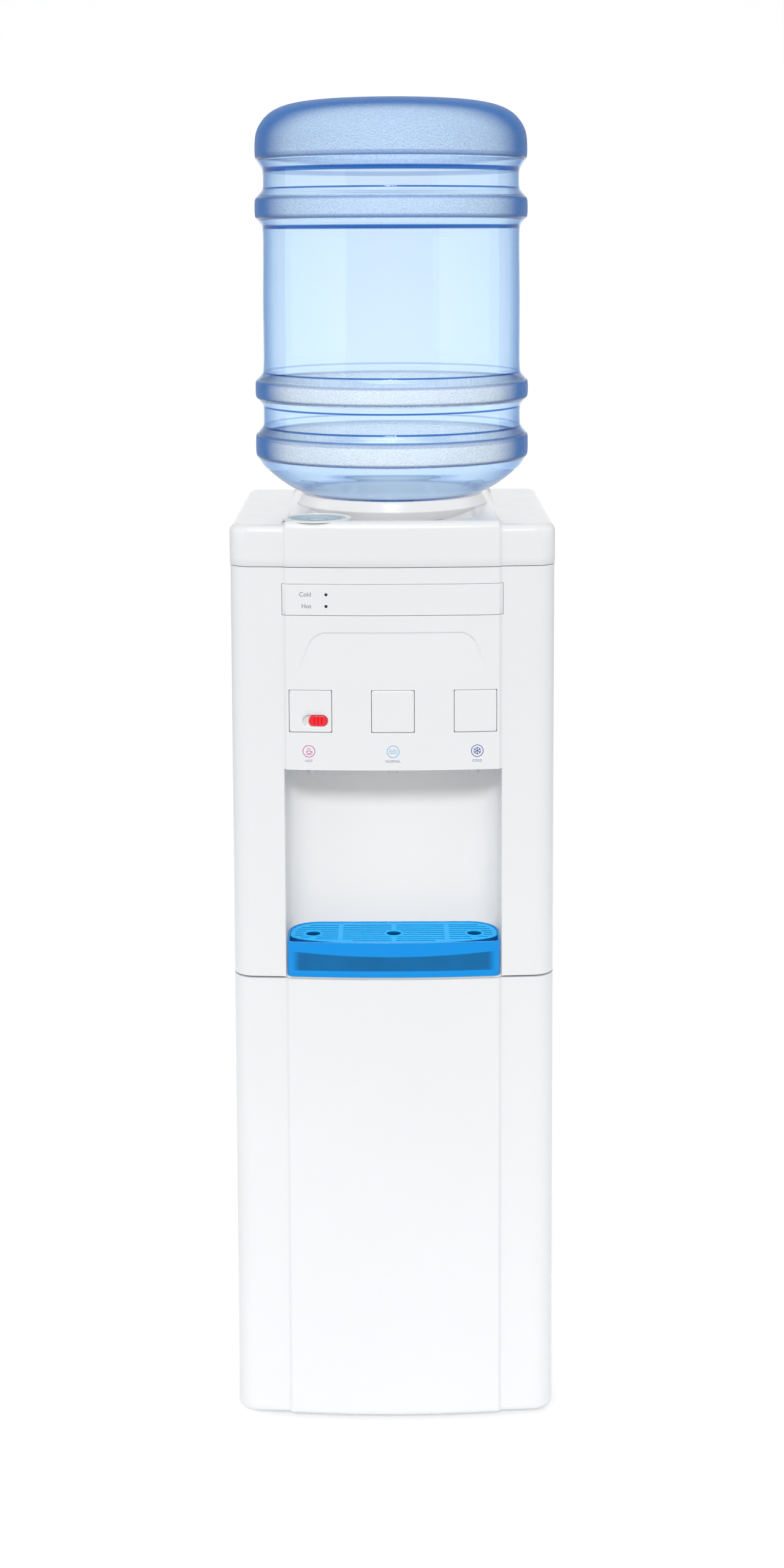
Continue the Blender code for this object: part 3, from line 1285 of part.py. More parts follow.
def tanks():
    x, y = hot_tank_place()
    foam_low = MID_DECK_TOP + GAP
    foam_outer = TANK_RADIUS + GAP + TANK_FOAM
    foam_inner = TANK_RADIUS + GAP
    floor_top = foam_low + TANK_FLOOR
    foam = turned(
        [(0, foam_low), (foam_outer, foam_low), (foam_outer, TANK_TOP), (foam_inner, TANK_TOP),
         (foam_inner, floor_top), (0, floor_top)],
        y=BOTTLE_Y, steps=FINE_STEPS,
    )
    routes = hoses()
    for name in ("normal_hose", "cold_hose", "feed_hose"):
        near, far = [Vector(point) for point in (routes[name][-2:] if name != "feed_hose" else routes[name][1::-1])]
        way = (near - far).normalized()
        cut(foam, tube([far - way * GAP, far + way * 2 * TANK_FOAM], HOSE_RADIUS + HOSE_CLEARANCE, 2))
    piece(foam, "tank_insulation", "white_foam")

    low = floor_top + GAP
    hole = NOZZLE_RADIUS + TANK_HOLE_CLEARANCE
    tank = turned(
        [(0, low), (TANK_RADIUS, low), (TANK_RADIUS, TANK_TOP), (hole, TANK_TOP), (hole, TANK_TOP - TANK_WALL),
         (TANK_RADIUS - TANK_WALL, TANK_TOP - TANK_WALL), (TANK_RADIUS - TANK_WALL, low + TANK_WALL),
         (0, low + TANK_WALL)],
        y=BOTTLE_Y, steps=FINE_STEPS,
    )
    piece(tank, "cold_tank", "stainless")

    top = foam_low + HOT_TANK_HEIGHT
    inner = HOT_TANK_RADIUS - HOT_TANK_DOME
    boiler = turned(
        [(0, foam_low), (inner, foam_low), (HOT_TANK_RADIUS, foam_low + HOT_TANK_DOME),
         (HOT_TANK_RADIUS, top - HOT_TANK_DOME), (inner, top), (0, top)], x, y,
    )
    piece(boiler, "hot_tank", "stainless")
    for name, route in routes.items():
        piece(tube(route, HOSE_RADIUS), name, "silicone")


def mid_deck():
    """The steel shelf over the cabinet that carries the tanks and the recess liner."""
    half = PANEL_INNER_X - 2 * GAP
    path = [
        (-half, MID_DECK_TOP + DECK_FLANGE), (-half, MID_DECK_BOTTOM),
        (half, MID_DECK_BOTTOM), (half, MID_DECK_TOP + DECK_FLANGE),
    ]
    deck = prism(ribbon(path, DECK_SHEET), FRAME + 3 * SHEET, PANEL_BACK - PANEL_BEND - GAP, "y")
    return piece(deck, "mid_deck", "zinc_steel")


# Cabinet


def cabinet_section(inset):
    """The cabinet in side view, stepped over the compressor bay, moved inwards by an inset."""
    front = FRAME + CABINET_WALL + GAP
    bay_y = BACK - BAY_DEPTH - inset
    return [
        (front, FOAM_BOTTOM + inset), (bay_y, FOAM_BOTTOM + inset), (bay_y, BAY_TOP + inset),
        (FOAM_BACK - inset, BAY_TOP + inset), (FOAM_BACK - inset, FOAM_TOP - inset), (front, FOAM_TOP - inset),
    ]


def opened(section):
    """A side view whose front edge is moved forward, to cut right through the front."""
    front = FRAME - OVERRUN
    return [(front, section[0][1]), *section[1:-1], (front, section[-1][1])]


def cabinet():
    foam = prism(cabinet_section(0.0), -FOAM_HALF_WIDTH, FOAM_HALF_WIDTH, "x")
    cavity = FOAM_HALF_WIDTH - FOAM_WALL
    cut(foam, prism(opened(cabinet_section(FOAM_WALL)), -cavity, cavity, "x"))
    piece(foam, "cabinet_insulation", "white_foam")

    outer = cavity - GAP
    inner = outer - CABINET_WALL
    liner = prism(cabinet_section(FOAM_WALL + GAP), -outer, outer, "x")
    join(liner, block(
        (-CABINET_FLANGE_HALF_WIDTH, CABINET_FLANGE_HALF_WIDTH),
        (FRAME, FRAME + CABINET_WALL),
        (FOAM_BOTTOM + CABINET_FLANGE_MARGIN, FOAM_TOP - CABINET_FLANGE_MARGIN),
    ))
    bridge = FOAM_BOTTOM + FOAM_WALL + GAP
    join(liner, block(
        (-outer, outer), (FRAME + CABINET_WALL / 2, FRAME + 2 * CABINET_WALL), (bridge, FOAM_TOP - FOAM_WALL - GAP)
    ))
    cut(liner, prism(opened(cabinet_section(FOAM_WALL + GAP + CABINET_WALL)), -inner, inner, "x"))
    shelf_low = BAY_TOP + FOAM_WALL + GAP + CABINET_WALL + GAP
    ledge_back = BACK - BAY_DEPTH - FOAM_WALL - GAP - CABINET_WALL / 2
    for side in (-1, 1):
        xs = sorted((side * (inner + CABINET_WALL / 2), side * (inner - SHELF_LEDGE)))
        join(liner, block(
            xs, (FRAME + SHELF_BORDER, ledge_back), (shelf_low - GAP - SHELF_LEDGE_HEIGHT, shelf_low - GAP)
        ))
    piece(liner, "cabinet_liner", "liner_white")

    half = inner - SHELF_CLEARANCE
    front = FRAME + SHELF_BORDER / 2
    back = FOAM_BACK - FOAM_WALL - GAP - CABINET_WALL - SHELF_CLEARANCE
    shelf = block((-half, half), (front, back), (shelf_low, shelf_low + SHELF_THICKNESS))
    pitch = 2 * (half - SHELF_BORDER) / SHELF_SLOTS
    slots = []
    for i in range(SHELF_SLOTS):
        x = -half + SHELF_BORDER + pitch * (i + 1 / 2)
        slots.append(block(
            (x - SHELF_SLOT_WIDTH / 2, x + SHELF_SLOT_WIDTH / 2), (front + SHELF_BORDER, back - SHELF_BORDER),
            (shelf_low - OVERRUN, shelf_low + SHELF_THICKNESS + OVERRUN),
        ))
    cut(shelf, gathered(slots))
    piece(shelf, "cabinet_shelf", "grey_plastic")


# Casing


def side_panel(name, side):
    """A steel side with a narrow flange in front and a wider one behind."""
    outer = WIDTH / 2
    corners = [
        (outer - SIDE_FLANGE, FRAME, 0), (outer, FRAME, 0), (outer, PANEL_BACK, 0), (outer - BACK_FLANGE, PANEL_BACK, 0),
    ]
    path = [(side * p.x, p.y) for p in bent_line(corners, PANEL_BEND, 2)]
    outline = ribbon(path if side > 0 else path[::-1], SHEET)
    return piece(prism(outline, FOOT_HEIGHT, FASCIA_TOP), name, "white_steel")


def back_panel():
    panel = block(
        (-BACK_PANEL_HALF_WIDTH, BACK_PANEL_HALF_WIDTH), (BACK - SHEET, BACK), (PANEL_BOTTOM, FASCIA_TOP)
    )
    through = (BACK - SHEET - OVERRUN, BACK + OVERRUN)
    tools = []
    for row in range(LOUVRE_ROWS):
        z = FASCIA_TOP - LOUVRE_DROP - row * LOUVRE_PITCH
        low = z - LOUVRE_HEIGHT
        tools.append(block((LOUVRE_X - LOUVRE_LENGTH / 2, LOUVRE_X + LOUVRE_LENGTH / 2), through, (low, z)))
    switch_x, switch_z = SWITCH_X, FASCIA_TOP - SWITCH_DROP
    half_x = SWITCH_PLATE_HALF_X - SWITCH_BODY_INSET + HOLE_CLEARANCE
    half_z = SWITCH_PLATE_HALF_Z - SWITCH_BODY_INSET + HOLE_CLEARANCE
    tools.append(block((switch_x - half_x, switch_x + half_x), through, (switch_z - half_z, switch_z + half_z)))
    drain_x, _ = hot_tank_place()
    tools.append(rod(DRAIN_RADIUS + HOLE_CLEARANCE, *through, drain_x, 0, MID_DECK_TOP + DRAIN_RISE, "y"))
    tools.append(rod(BUSH_NECK + HOLE_CLEARANCE, *through, BUSH_X, 0, PANEL_BOTTOM + BUSH_RISE, "y"))
    cut(panel, gathered(tools))
    return piece(panel, "back_panel", "zinc_steel")


def base_pan():
    """The sheet under the cabinet, with flanges at its sides and rear."""
    half = PANEL_INNER_X - 2 * GAP
    front, back = FRAME + 2 * SHEET, PANEL_BACK - PANEL_BEND - GAP
    pan = block((-half, half), (front, back), (FOOT_HEIGHT, FOOT_HEIGHT + PAN_FLANGE))
    cut(pan, block(
        (PAN_SHEET - half, half - PAN_SHEET), (front - OVERRUN, back - PAN_SHEET),
        (FOOT_HEIGHT + PAN_SHEET, FOOT_HEIGHT + PAN_FLANGE + OVERRUN),
    ))
    return piece(pan, "base_pan", "zinc_steel")


def foot(name, x, y):
    top = FOOT_HEIGHT - GAP
    profile = [(0, 0), (FOOT_RADIUS, 0), (FOOT_RADIUS, top / 2), (FOOT_RADIUS - FOOT_TAPER, top), (0, top)]
    return piece(turned(profile, x, y), name, "black_rubber")


# Door


def door_panel():
    """A moulded shell open at the back, with a round bottom edge and bored bosses for the hinge pins."""
    levels = [(FOOT_HEIGHT + DOOR_EDGE - DOOR_EDGE * sin(a), DOOR_EDGE * (1 - cos(a)))
              for a in (pi / 2, pi / 3, pi / 6, 0)]
    levels.append((DOOR_TOP, 0.0))
    rings = [[(x, y, z) for x, y in front_outline(inset, DOOR_BACK)] for z, inset in levels]
    panel = loft(rings)
    inner = front_outline(DOOR_WALL, DOOR_BACK + OVERRUN)
    cut(panel, prism(inner, FOOT_HEIGHT + DOOR_EDGE, DOOR_TOP - DOOR_WALL))
    boss = HINGE_PIN_RADIUS + HINGE_BOSS_WALL
    deep = HINGE_PIN_LENGTH + DOOR_WALL
    for low, high in ((FOOT_HEIGHT + DOOR_EDGE / 2, FOOT_HEIGHT + deep), (DOOR_TOP - deep, DOOR_TOP - DOOR_WALL / 2)):
        join(panel, rod(boss, low, high, HINGE_X, HINGE_Y))
    bore = HINGE_PIN_RADIUS + GAP
    reach = HINGE_PIN_LENGTH + GAP
    cut(panel, rod(bore, FOOT_HEIGHT - OVERRUN, FOOT_HEIGHT + reach, HINGE_X, HINGE_Y, steps=COARSE_STEPS))
    cut(panel, rod(bore, DOOR_TOP - reach, DOOR_TOP + OVERRUN, HINGE_X, HINGE_Y, steps=COARSE_STEPS))
    return piece(panel, "door_panel", "white_abs", (HINGE_X, HINGE_Y, FOOT_HEIGHT))


def door_liner():
    """The inner face of the door, with a raised panel that reaches into the cabinet."""
    half = WIDTH / 2 - DOOR_WALL - GAP
    low, high = FOOT_HEIGHT + DOOR_EDGE + GAP, DOOR_TOP - DOOR_WALL - GAP
    liner = block((-half, half), (DOOR_BACK - DOOR_LINER, DOOR_BACK), (low, high))
    rings = []
    for depth, inset in ((-DOOR_LINER / 2, 0.0), (DOOR_LINER_RISE, DOOR_LINER_SLOPE)):
        reach = half - DOOR_LINER_MARGIN - inset
        bottom, top = low + DOOR_LINER_MARGIN + inset, high - DOOR_LINER_MARGIN - inset
        outline = rounded_box(-reach, reach, bottom, top, DOOR_LINER_SLOPE)
        rings.append([(x, DOOR_BACK + depth, z) for x, z in outline])
    join(liner, loft(rings))
    return piece(liner, "door_liner", "liner_white", (HINGE_X, HINGE_Y, FOOT_HEIGHT))


def door_gasket():
    half = WIDTH / 2 - GASKET_MARGIN
    low, high = FOOT_HEIGHT + GASKET_MARGIN, DOOR_TOP - GASKET_MARGIN
    front, back = DOOR_BACK + GAP, FRAME - GAP
    gasket = block((-half, half), (front, back), (low, high))
    cut(gasket, block(
        (GASKET_WIDTH - half, half - GASKET_WIDTH), (front - OVERRUN, back + OVERRUN),
        (low + GASKET_WIDTH, high - GASKET_WIDTH),
    ))
    return piece(gasket, "door_gasket", "grey_rubber", (HINGE_X, HINGE_Y, FOOT_HEIGHT))


def hinge_bracket(name, low, high, pin_low, pin_high):
    """A flat leaf screwed behind the door's edge, with a pin that stands in the door."""
    half = HINGE_LEAF_HALF_WIDTH
    back = FRONT + HINGE_LEAF_REACH
    outline = arc(HINGE_X, HINGE_Y, half, 180, 360, 8) + [(HINGE_X + half, FRAME - SHEET)]
    clear = WIDTH / 2 - SIDE_FLANGE - GAP - SHEET
    outline += [(clear, FRAME - SHEET), (clear, back), (HINGE_X - 2 * half, back), (HINGE_X - 2 * half, FRAME - SHEET)]
    leaf = prism(outline, low, high)
    join(leaf, rod(HINGE_PIN_RADIUS, pin_low, pin_high, HINGE_X, HINGE_Y, steps=COARSE_STEPS))
    return piece(leaf, name, "zinc_steel")


def hinges():
    low = MID_DECK_TOP + GAP
    high = FASCIA_BOTTOM - GAP
    hinge_bracket("upper_hinge", low, high, DOOR_TOP - HINGE_PIN_LENGTH, high - DECK_SHEET / 2)
    high = FOOT_HEIGHT - GAP
    low = high - HINGE_LEAF_SHEET
    hinge_bracket("lower_hinge", low, high, low + HINGE_LEAF_SHEET / 2, FOOT_HEIGHT + HINGE_PIN_LENGTH)


# Cooling unit


def compressor():
    floor_z = FOOT_HEIGHT + PAN_SHEET + GAP
    plate_z = floor_z + COMPRESSOR_FOOT
    y = BACK - COMPRESSOR_BACK_GAP - COMPRESSOR_RADIUS
    low, high = plate_z, plate_z + COMPRESSOR_HEIGHT
    radius, dome = COMPRESSOR_RADIUS, COMPRESSOR_DOME
    belt = radius + COMPRESSOR_BELT
    middle = (low + high) / 2
    lower = [(radius * sin(a), low + dome * (1 - cos(a))) for a in (0, pi / 6, pi / 3, pi / 2)]
    upper = [(radius * sin(a), high - dome * (1 - cos(a))) for a in (pi / 2, pi / 3, pi / 6, 0)]
    band = [
        (radius, middle - COMPRESSOR_BELT_HEIGHT / 2), (belt, middle - COMPRESSOR_BELT_HEIGHT / 2),
        (belt, middle + COMPRESSOR_BELT_HEIGHT / 2), (radius, middle + COMPRESSOR_BELT_HEIGHT / 2),
    ]
    body = turned(lower + band + upper, 0, y, steps=20)
    join(body, block(
        (-COMPRESSOR_PLATE_HALF_X, COMPRESSOR_PLATE_HALF_X),
        (y - COMPRESSOR_PLATE_HALF_Y, y + COMPRESSOR_PLATE_HALF_Y),
        (plate_z, plate_z + COMPRESSOR_PLATE),
    ))
    foot_x = COMPRESSOR_PLATE_HALF_X - COMPRESSOR_FOOT_RADIUS
    foot_y = COMPRESSOR_PLATE_HALF_Y - COMPRESSOR_FOOT_RADIUS
    for side_x in (-1, 1):
        for side_y in (-1, 1):
            join(body, rod(
                COMPRESSOR_FOOT_RADIUS, floor_z, plate_z + COMPRESSOR_PLATE / 2,
                side_x * foot_x, y + side_y * foot_y, steps=COARSE_STEPS,
            ))
    return piece(body, "compressor", "black_steel")


def condenser():
    """A serpentine tube with wires across it, on tabs off the back panel, and a tail to the compressor."""
    y = BACK + CONDENSER_CLEARANCE + CONDENSER_TUBE
    lowest = PANEL_BOTTOM + CONDENSER_RISE
    corners = []
    for run in range(CONDENSER_RUNS - 1, -1, -1):
        z = lowest + run * CONDENSER_PITCH
        ends = [(-CONDENSER_HALF_WIDTH, y, z), (CONDENSER_HALF_WIDTH, y, z)]
        corners += ends if (CONDENSER_RUNS - 1 - run) % 2 == 0 else ends[::-1]
    side = 1 if corners[-1][0] > 0 else -1
    compressor_y = BACK - COMPRESSOR_BACK_GAP - COMPRESSOR_RADIUS
    tail_x = side * CONDENSER_HALF_WIDTH
    corners += [
        (tail_x, y, CONDENSER_TAIL_HEIGHT), (tail_x, compressor_y, CONDENSER_TAIL_HEIGHT),
        (side * (COMPRESSOR_RADIUS + COMPRESSOR_BELT + GAP), compressor_y, CONDENSER_TAIL_HEIGHT),
    ]
    start = (corners[0][0] + 2 * CONDENSER_TUBE, y, corners[0][2])
    bend = 5 * CONDENSER_TUBE
    grid = tube(bent_line([start, *corners[1:]], bend, CONDENSER_BEND_STEPS), CONDENSER_TUBE)
    wires = []
    back = y + CONDENSER_TUBE - WIRE_BITE
    top = lowest + (CONDENSER_RUNS - 1) * CONDENSER_PITCH
    for i in range(WIRE_COUNT):
        x = (i - (WIRE_COUNT - 1) / 2) * WIRE_PITCH
        wires.append(block(
            (x - WIRE_SIDE / 2, x + WIRE_SIDE / 2), (back, back + WIRE_SIDE),
            (lowest - 2 * CONDENSER_TUBE, top + 2 * CONDENSER_TUBE),
        ))
    join(grid, gathered(wires))
    tabs = []
    for x in (-1, 1):
        for z in (lowest, top):
            centre = x * (CONDENSER_HALF_WIDTH - 2 * CONDENSER_TAB)
            tabs.append(block(
                (centre - CONDENSER_TAB, centre + CONDENSER_TAB), (BACK + GAP, y),
                (z - CONDENSER_TAB_SHEET / 2, z + CONDENSER_TAB_SHEET / 2),
            ))
    join(grid, gathered(tabs))
    return piece(grid, "condenser", "black_steel")


# Back: switches, drain and cord bush


def switches():
    """A plate with two pockets let into the back panel, and a rocker in each."""
    middle_z = FASCIA_TOP - SWITCH_DROP
    face = BACK + GAP + SWITCH_PLATE
    plate = block(
        (SWITCH_X - SWITCH_PLATE_HALF_X, SWITCH_X + SWITCH_PLATE_HALF_X), (BACK + GAP, face),
        (middle_z - SWITCH_PLATE_HALF_Z, middle_z + SWITCH_PLATE_HALF_Z),
    )
    half_x, half_z = SWITCH_PLATE_HALF_X - SWITCH_BODY_INSET, SWITCH_PLATE_HALF_Z - SWITCH_BODY_INSET
    join(plate, block(
        (SWITCH_X - half_x, SWITCH_X + half_x), (face - SWITCH_BODY, face - SWITCH_PLATE / 2),
        (middle_z - half_z, middle_z + half_z),
    ))
    pocket_x, pocket_z = ROCKER_HALF_X + ROCKER_CLEARANCE, ROCKER_HALF_Z + ROCKER_CLEARANCE
    places = [SWITCH_X - ROCKER_SPACING / 2, SWITCH_X + ROCKER_SPACING / 2]
    pockets = [
        block((x - pocket_x, x + pocket_x), (face - SWITCH_BODY + SWITCH_FLOOR, face + OVERRUN),
              (middle_z - pocket_z, middle_z + pocket_z))
        for x in places
    ]
    cut(plate, gathered(pockets))
    piece(plate, "switch_plate", "black_plastic")
    profile = [
        (ROCKER_HORN, ROCKER_HALF_Z), (ROCKER_DIP, 0), (ROCKER_HORN, -ROCKER_HALF_Z),
        (-ROCKER_DIP / 2, -ROCKER_HALF_Z), (-ROCKER_ROOT, -ROCKER_ROOT), (-ROCKER_ROOT, ROCKER_ROOT),
        (-ROCKER_DIP / 2, ROCKER_HALF_Z),
    ]
    turned_profile = [
        (face + y * cos(ROCKER_TILT) - z * sin(ROCKER_TILT), middle_z + y * sin(ROCKER_TILT) + z * cos(ROCKER_TILT))
        for y, z in [(along * 0.98, across * 0.98) for along, across in profile]
    ]
    for name, finish, x in zip(("hot_rocker", "cold_rocker"), ("rocker_red", "rocker_green"), places):
        rocker = prism(turned_profile, x - ROCKER_HALF_X, x + ROCKER_HALF_X, "x")
        piece(rocker, name, finish, (x, face, middle_z))


def drain():
    """The outlet of the hot tank through the back panel, and the cap that closes it."""
    x, tank_y = hot_tank_place()
    z = MID_DECK_TOP + DRAIN_RISE
    start = tank_y + HOT_TANK_RADIUS + GAP
    end = BACK + DRAIN_REACH
    flange = BACK + GAP
    outlet = turned(
        [(DRAIN_BORE, start), (DRAIN_RADIUS, start), (DRAIN_RADIUS, flange), (DRAIN_FLANGE_RADIUS, flange),
         (DRAIN_FLANGE_RADIUS, flange + DRAIN_FLANGE), (DRAIN_RADIUS, flange + DRAIN_FLANGE),
         (DRAIN_RADIUS, end), (DRAIN_BORE, end)], x, 0, z, "y",
    )
    piece(outlet, "drain_outlet", "white_abs")
    inner = DRAIN_RADIUS + DRAIN_CAP_CLEARANCE
    outer = inner + DRAIN_CAP_WALL
    low = flange + DRAIN_FLANGE + GAP
    shut = end + GAP
    cap = turned(
        [(0, shut + DRAIN_CAP_WALL), (outer, shut + DRAIN_CAP_WALL), (outer, low), (inner, low), (inner, shut), (0, shut)],
        x, 0, z, "y",
    )
    piece(cap, "drain_cap", "white_abs")


def cord_bush():
    """The rubber bush in the back panel that the mains cord passes."""
    inside = BACK - SHEET - GAP
    outside = BACK + GAP
    profile = [
        (BUSH_BORE, inside - BUSH_LIP), (BUSH_RADIUS, inside - BUSH_LIP), (BUSH_RADIUS, inside), (BUSH_NECK, inside),
        (BUSH_NECK, outside), (BUSH_RADIUS, outside), (BUSH_RADIUS, outside + BUSH_LIP), (BUSH_BORE, outside + BUSH_LIP),
    ]
    return piece(turned(profile, BUSH_X, 0, PANEL_BOTTOM + BUSH_RISE, "y"), "cord_bush", "black_rubber")


def build():
    clear_scene()
    base_pan()
    for row, y in (("front", FRONT + FOOT_INSET_FRONT), ("rear", BACK - FOOT_INSET_BACK)):
        for hand, side in (("left", -1), ("right", 1)):
            foot(f"{row}_{hand}_foot", side * (WIDTH / 2 - FOOT_INSET_X), y)
    side_panel("left_side_panel", -1)
    side_panel("right_side_panel", 1)
    back_panel()
    cabinet()
    mid_deck()
    compressor()
    condenser()
    door_panel()
    door_liner()
    door_gasket()
    hinges()
    front_fascia()
    label_plate()
    for kind, x in (("hot", -BUTTON_PITCH), ("normal", 0.0), ("cold", BUTTON_PITCH)):
        button(f"{kind}_button", x)
        tap(f"{kind}_tap", f"{kind}_plunger", f"{kind}_spring", x)
    child_lock_slider()
    recess_liner()
    drip_tray()
    drip_grille()
    tanks()
    top_cover()
    deck_cap()
    bottle_collar()
    water_probe()
    bottle()
    bottle_cap()
    switches()
    drain()
    cord_bush()


build()
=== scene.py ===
# %% [markdown]
# # A bottled water dispenser, dressed over its solids
#
# The solids of the dispenser already exist: cabinet, door, taps, tray, bottle and what is inside them. This
# lesson loads them as a fixed frame and gives them their looks. The big moulded faces and the bottle are
# made again as smooth surfaces, each one worked out with numpy from the same measurements as the solid it
# covers; the tray is a cleaned copy of its solid with rounded edges. Everything is in metres, +Z is up, and
# the front faces -Y.

# %% Load the frame
from math import cos, pi, radians, sin

import bmesh
import bpy
import numpy as np
from mathutils import Matrix, Vector


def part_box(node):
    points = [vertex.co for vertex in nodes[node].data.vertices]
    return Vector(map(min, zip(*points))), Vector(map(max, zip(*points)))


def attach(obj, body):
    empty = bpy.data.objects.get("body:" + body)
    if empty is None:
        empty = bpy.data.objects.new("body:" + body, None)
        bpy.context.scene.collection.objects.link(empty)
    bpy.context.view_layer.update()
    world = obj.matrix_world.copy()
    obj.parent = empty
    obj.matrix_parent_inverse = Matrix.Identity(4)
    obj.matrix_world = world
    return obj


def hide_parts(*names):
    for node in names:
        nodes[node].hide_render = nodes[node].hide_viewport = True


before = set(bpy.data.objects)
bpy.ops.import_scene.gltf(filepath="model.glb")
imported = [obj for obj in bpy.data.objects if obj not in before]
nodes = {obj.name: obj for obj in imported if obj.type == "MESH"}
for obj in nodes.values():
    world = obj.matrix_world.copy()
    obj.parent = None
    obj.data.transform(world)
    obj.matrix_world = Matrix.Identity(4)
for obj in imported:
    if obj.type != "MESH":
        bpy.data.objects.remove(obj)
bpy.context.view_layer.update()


# %% [markdown]
# ## Where things are
#
# The heights and depths come from the solids' own boxes, so a surface made here always meets the solid that
# carries it. Only shapes that a box can't tell, such as the bow of the front, are written as numbers.

# %% Levels and depths read from the solids
def low(node):
    return np.array(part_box(node)[0])


def high(node):
    return np.array(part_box(node)[1])


FRONT = low("front_fascia")[1]
HALF_WIDTH = high("front_fascia")[0]
FASCIA_FOOT, FASCIA_TOP = low("front_fascia")[2], high("front_fascia")[2]
FLANK_END = high("front_fascia")[1]
DOOR_FOOT, DOOR_TOP = low("door_panel")[2], high("door_panel")[2]
DOOR_BACK = high("door_panel")[1]
BUTTON_LEVEL = (low("normal_button")[2] + high("normal_button")[2]) / 2
BUTTON_PITCH = (low("cold_button")[0] + high("cold_button")[0]) / 2
BUTTON_HALF = (high("normal_button")[0] - low("normal_button")[0]) / 2
LIP = BUTTON_LEVEL - 0.0595  # lower edge of the fascia, over the recess
BOTTLE_Y = (low("bottle")[1] + high("bottle")[1]) / 2
PLATE_LOW, PLATE_HIGH = low("label_plate")[2], high("label_plate")[2]
PLATE_HALF = high("label_plate")[0]
print("front at", round(FRONT, 4), "buttons at", round(BUTTON_LEVEL, 4))


# %% [markdown]
# ## The camera
#
# The photograph was taken from a little above the deck of the cabinet, about two metres away, and looks down
# a few degrees. The picture was then cropped, so the optical axis meets it above its middle: that is what the
# lens shift is for. The camera is also rolled by a fifth of a degree, which tips the upright edges.

# %% Camera
PHOTO_HEIGHT = 2576  # in pixels, as are the two other values that are read off the photograph
FOCAL_PIXELS = 3530
SENSOR = 36.0
CAMERA_DISTANCE = 2.094  # from the bow of the front
CAMERA_HEIGHT = 1.2179
CAMERA_TILT = radians(5.9)
CAMERA_ROLL = -0.0037
AXIS_ROW = 750  # the row of the photograph that the optical axis meets

camera_data = bpy.data.cameras.new("photo_camera")
camera_data.sensor_width = SENSOR
camera_data.lens = FOCAL_PIXELS * SENSOR / PHOTO_HEIGHT
camera_data.shift_y = -(PHOTO_HEIGHT / 2 - AXIS_ROW) / PHOTO_HEIGHT
camera_data.clip_start = 0.05
camera = bpy.data.objects.new("photo_camera", camera_data)
camera.matrix_world = (
    Matrix.Translation((0.0, FRONT - CAMERA_DISTANCE, CAMERA_HEIGHT))
    @ Matrix.Rotation(pi / 2 - CAMERA_TILT, 4, "X")
    @ Matrix.Rotation(CAMERA_ROLL, 4, "Z")
)
bpy.context.scene.collection.objects.link(camera)
bpy.context.scene.camera = camera
print("lens", round(camera_data.lens, 2), "mm")


# %% [markdown]
# ## Light and floor
#
# White glossy plastic is only as good as what it mirrors. Two broad soft boxes, one on each side, draw the
# bright bands at the left and right of the bottle and light the flanks. A soft sun from above the camera
# throws the shadow under the lip of the recess, and a weaker one without a shadow reaches the places that
# the bottle would otherwise keep dark. The floor is pale, with light painted on it where the view meets it,
# and bends up far behind the dispenser, so no horizon shows.

# %% Soft boxes, sky and floor
def soft_box(name, place, aim, size, power):
    """A rectangular area light at place, turned so that it shines towards aim."""
    light = bpy.data.lights.new(name, "AREA")
    light.shape = "RECTANGLE"
    light.size, light.size_y = size
    light.energy = power
    lamp = bpy.data.objects.new(name, light)
    away = Vector(place) - Vector(aim)
    lamp.matrix_world = Matrix.Translation(place) @ away.to_track_quat("Z", "Y").to_matrix().to_4x4()
    lamp.visible_camera = False
    bpy.context.scene.collection.objects.link(lamp)


def soft_sun(name, elevation, azimuth, strength, softness, shadow=True):
    """Parallel light from a height and a side, both in degrees; 0 is straight in front."""
    light = bpy.data.lights.new(name, "SUN")
    light.energy, light.angle, light.use_shadow = strength, radians(softness), shadow
    lamp = bpy.data.objects.new(name, light)
    turn, lean = radians(azimuth), radians(90 - elevation)
    lamp.matrix_world = Matrix.Rotation(turn, 4, "Z") @ Matrix.Rotation(lean, 4, "X")
    bpy.context.scene.collection.objects.link(lamp)


BOX_AIM, BOX_SIZE = (0, 0, 1.2), (3.2, 1.7)
soft_box("left_box", (-2.3, -0.7, 1.5), BOX_AIM, BOX_SIZE, 17)
soft_box("right_box", (2.3, -0.6, 1.5), BOX_AIM, BOX_SIZE, 15)
soft_sun("key_sun", 33, -1, 1.96, 11)
soft_sun("fill_sun", 60, -15, 0.35, 30, shadow=False)

world = bpy.data.worlds.new("studio")
bpy.context.scene.world = world
world.use_nodes = True
sky = world.node_tree.nodes["Background"]
sky.inputs["Color"].default_value = (0.985, 0.99, 1.0, 1)
sky.inputs["Strength"].default_value = 0.51


def curved_floor(half_width=9.0, front=-9.0, wall=7.0, height=8.0, bend=2.5, rows=16):
    """A floor that turns up into a wall: a straight run, a quarter circle, and a straight rise."""
    angle = np.linspace(0, pi / 2, rows)
    run = np.concatenate([[front], wall - bend + bend * np.sin(angle), [wall]])
    rise = np.concatenate([[0.0], bend - bend * np.cos(angle), [height]])
    points = [(side * half_width, y, z) for y, z in zip(run, rise) for side in (-1, 1)]
    faces = [(2 * i, 2 * i + 1, 2 * i + 3, 2 * i + 2) for i in range(len(run) - 1)]
    mesh = bpy.data.meshes.new("floor")
    mesh.from_pydata(points, [], faces)
    mesh.shade_smooth()
    floor = bpy.data.objects.new("floor", mesh)
    bpy.context.scene.collection.objects.link(floor)
    return floor


floor = curved_floor()
bpy.context.scene.view_settings.view_transform = "Standard"


# %% [markdown]
# ## Writing materials as sums
#
# A moulded surface is never one flat value. Its roughness and colour drift a little, and a fine bump breaks
# up its reflections. To keep that readable, a class wraps a shader socket so that Python's operators add the
# Math nodes, and a second class owns a material's tree and makes every other node.

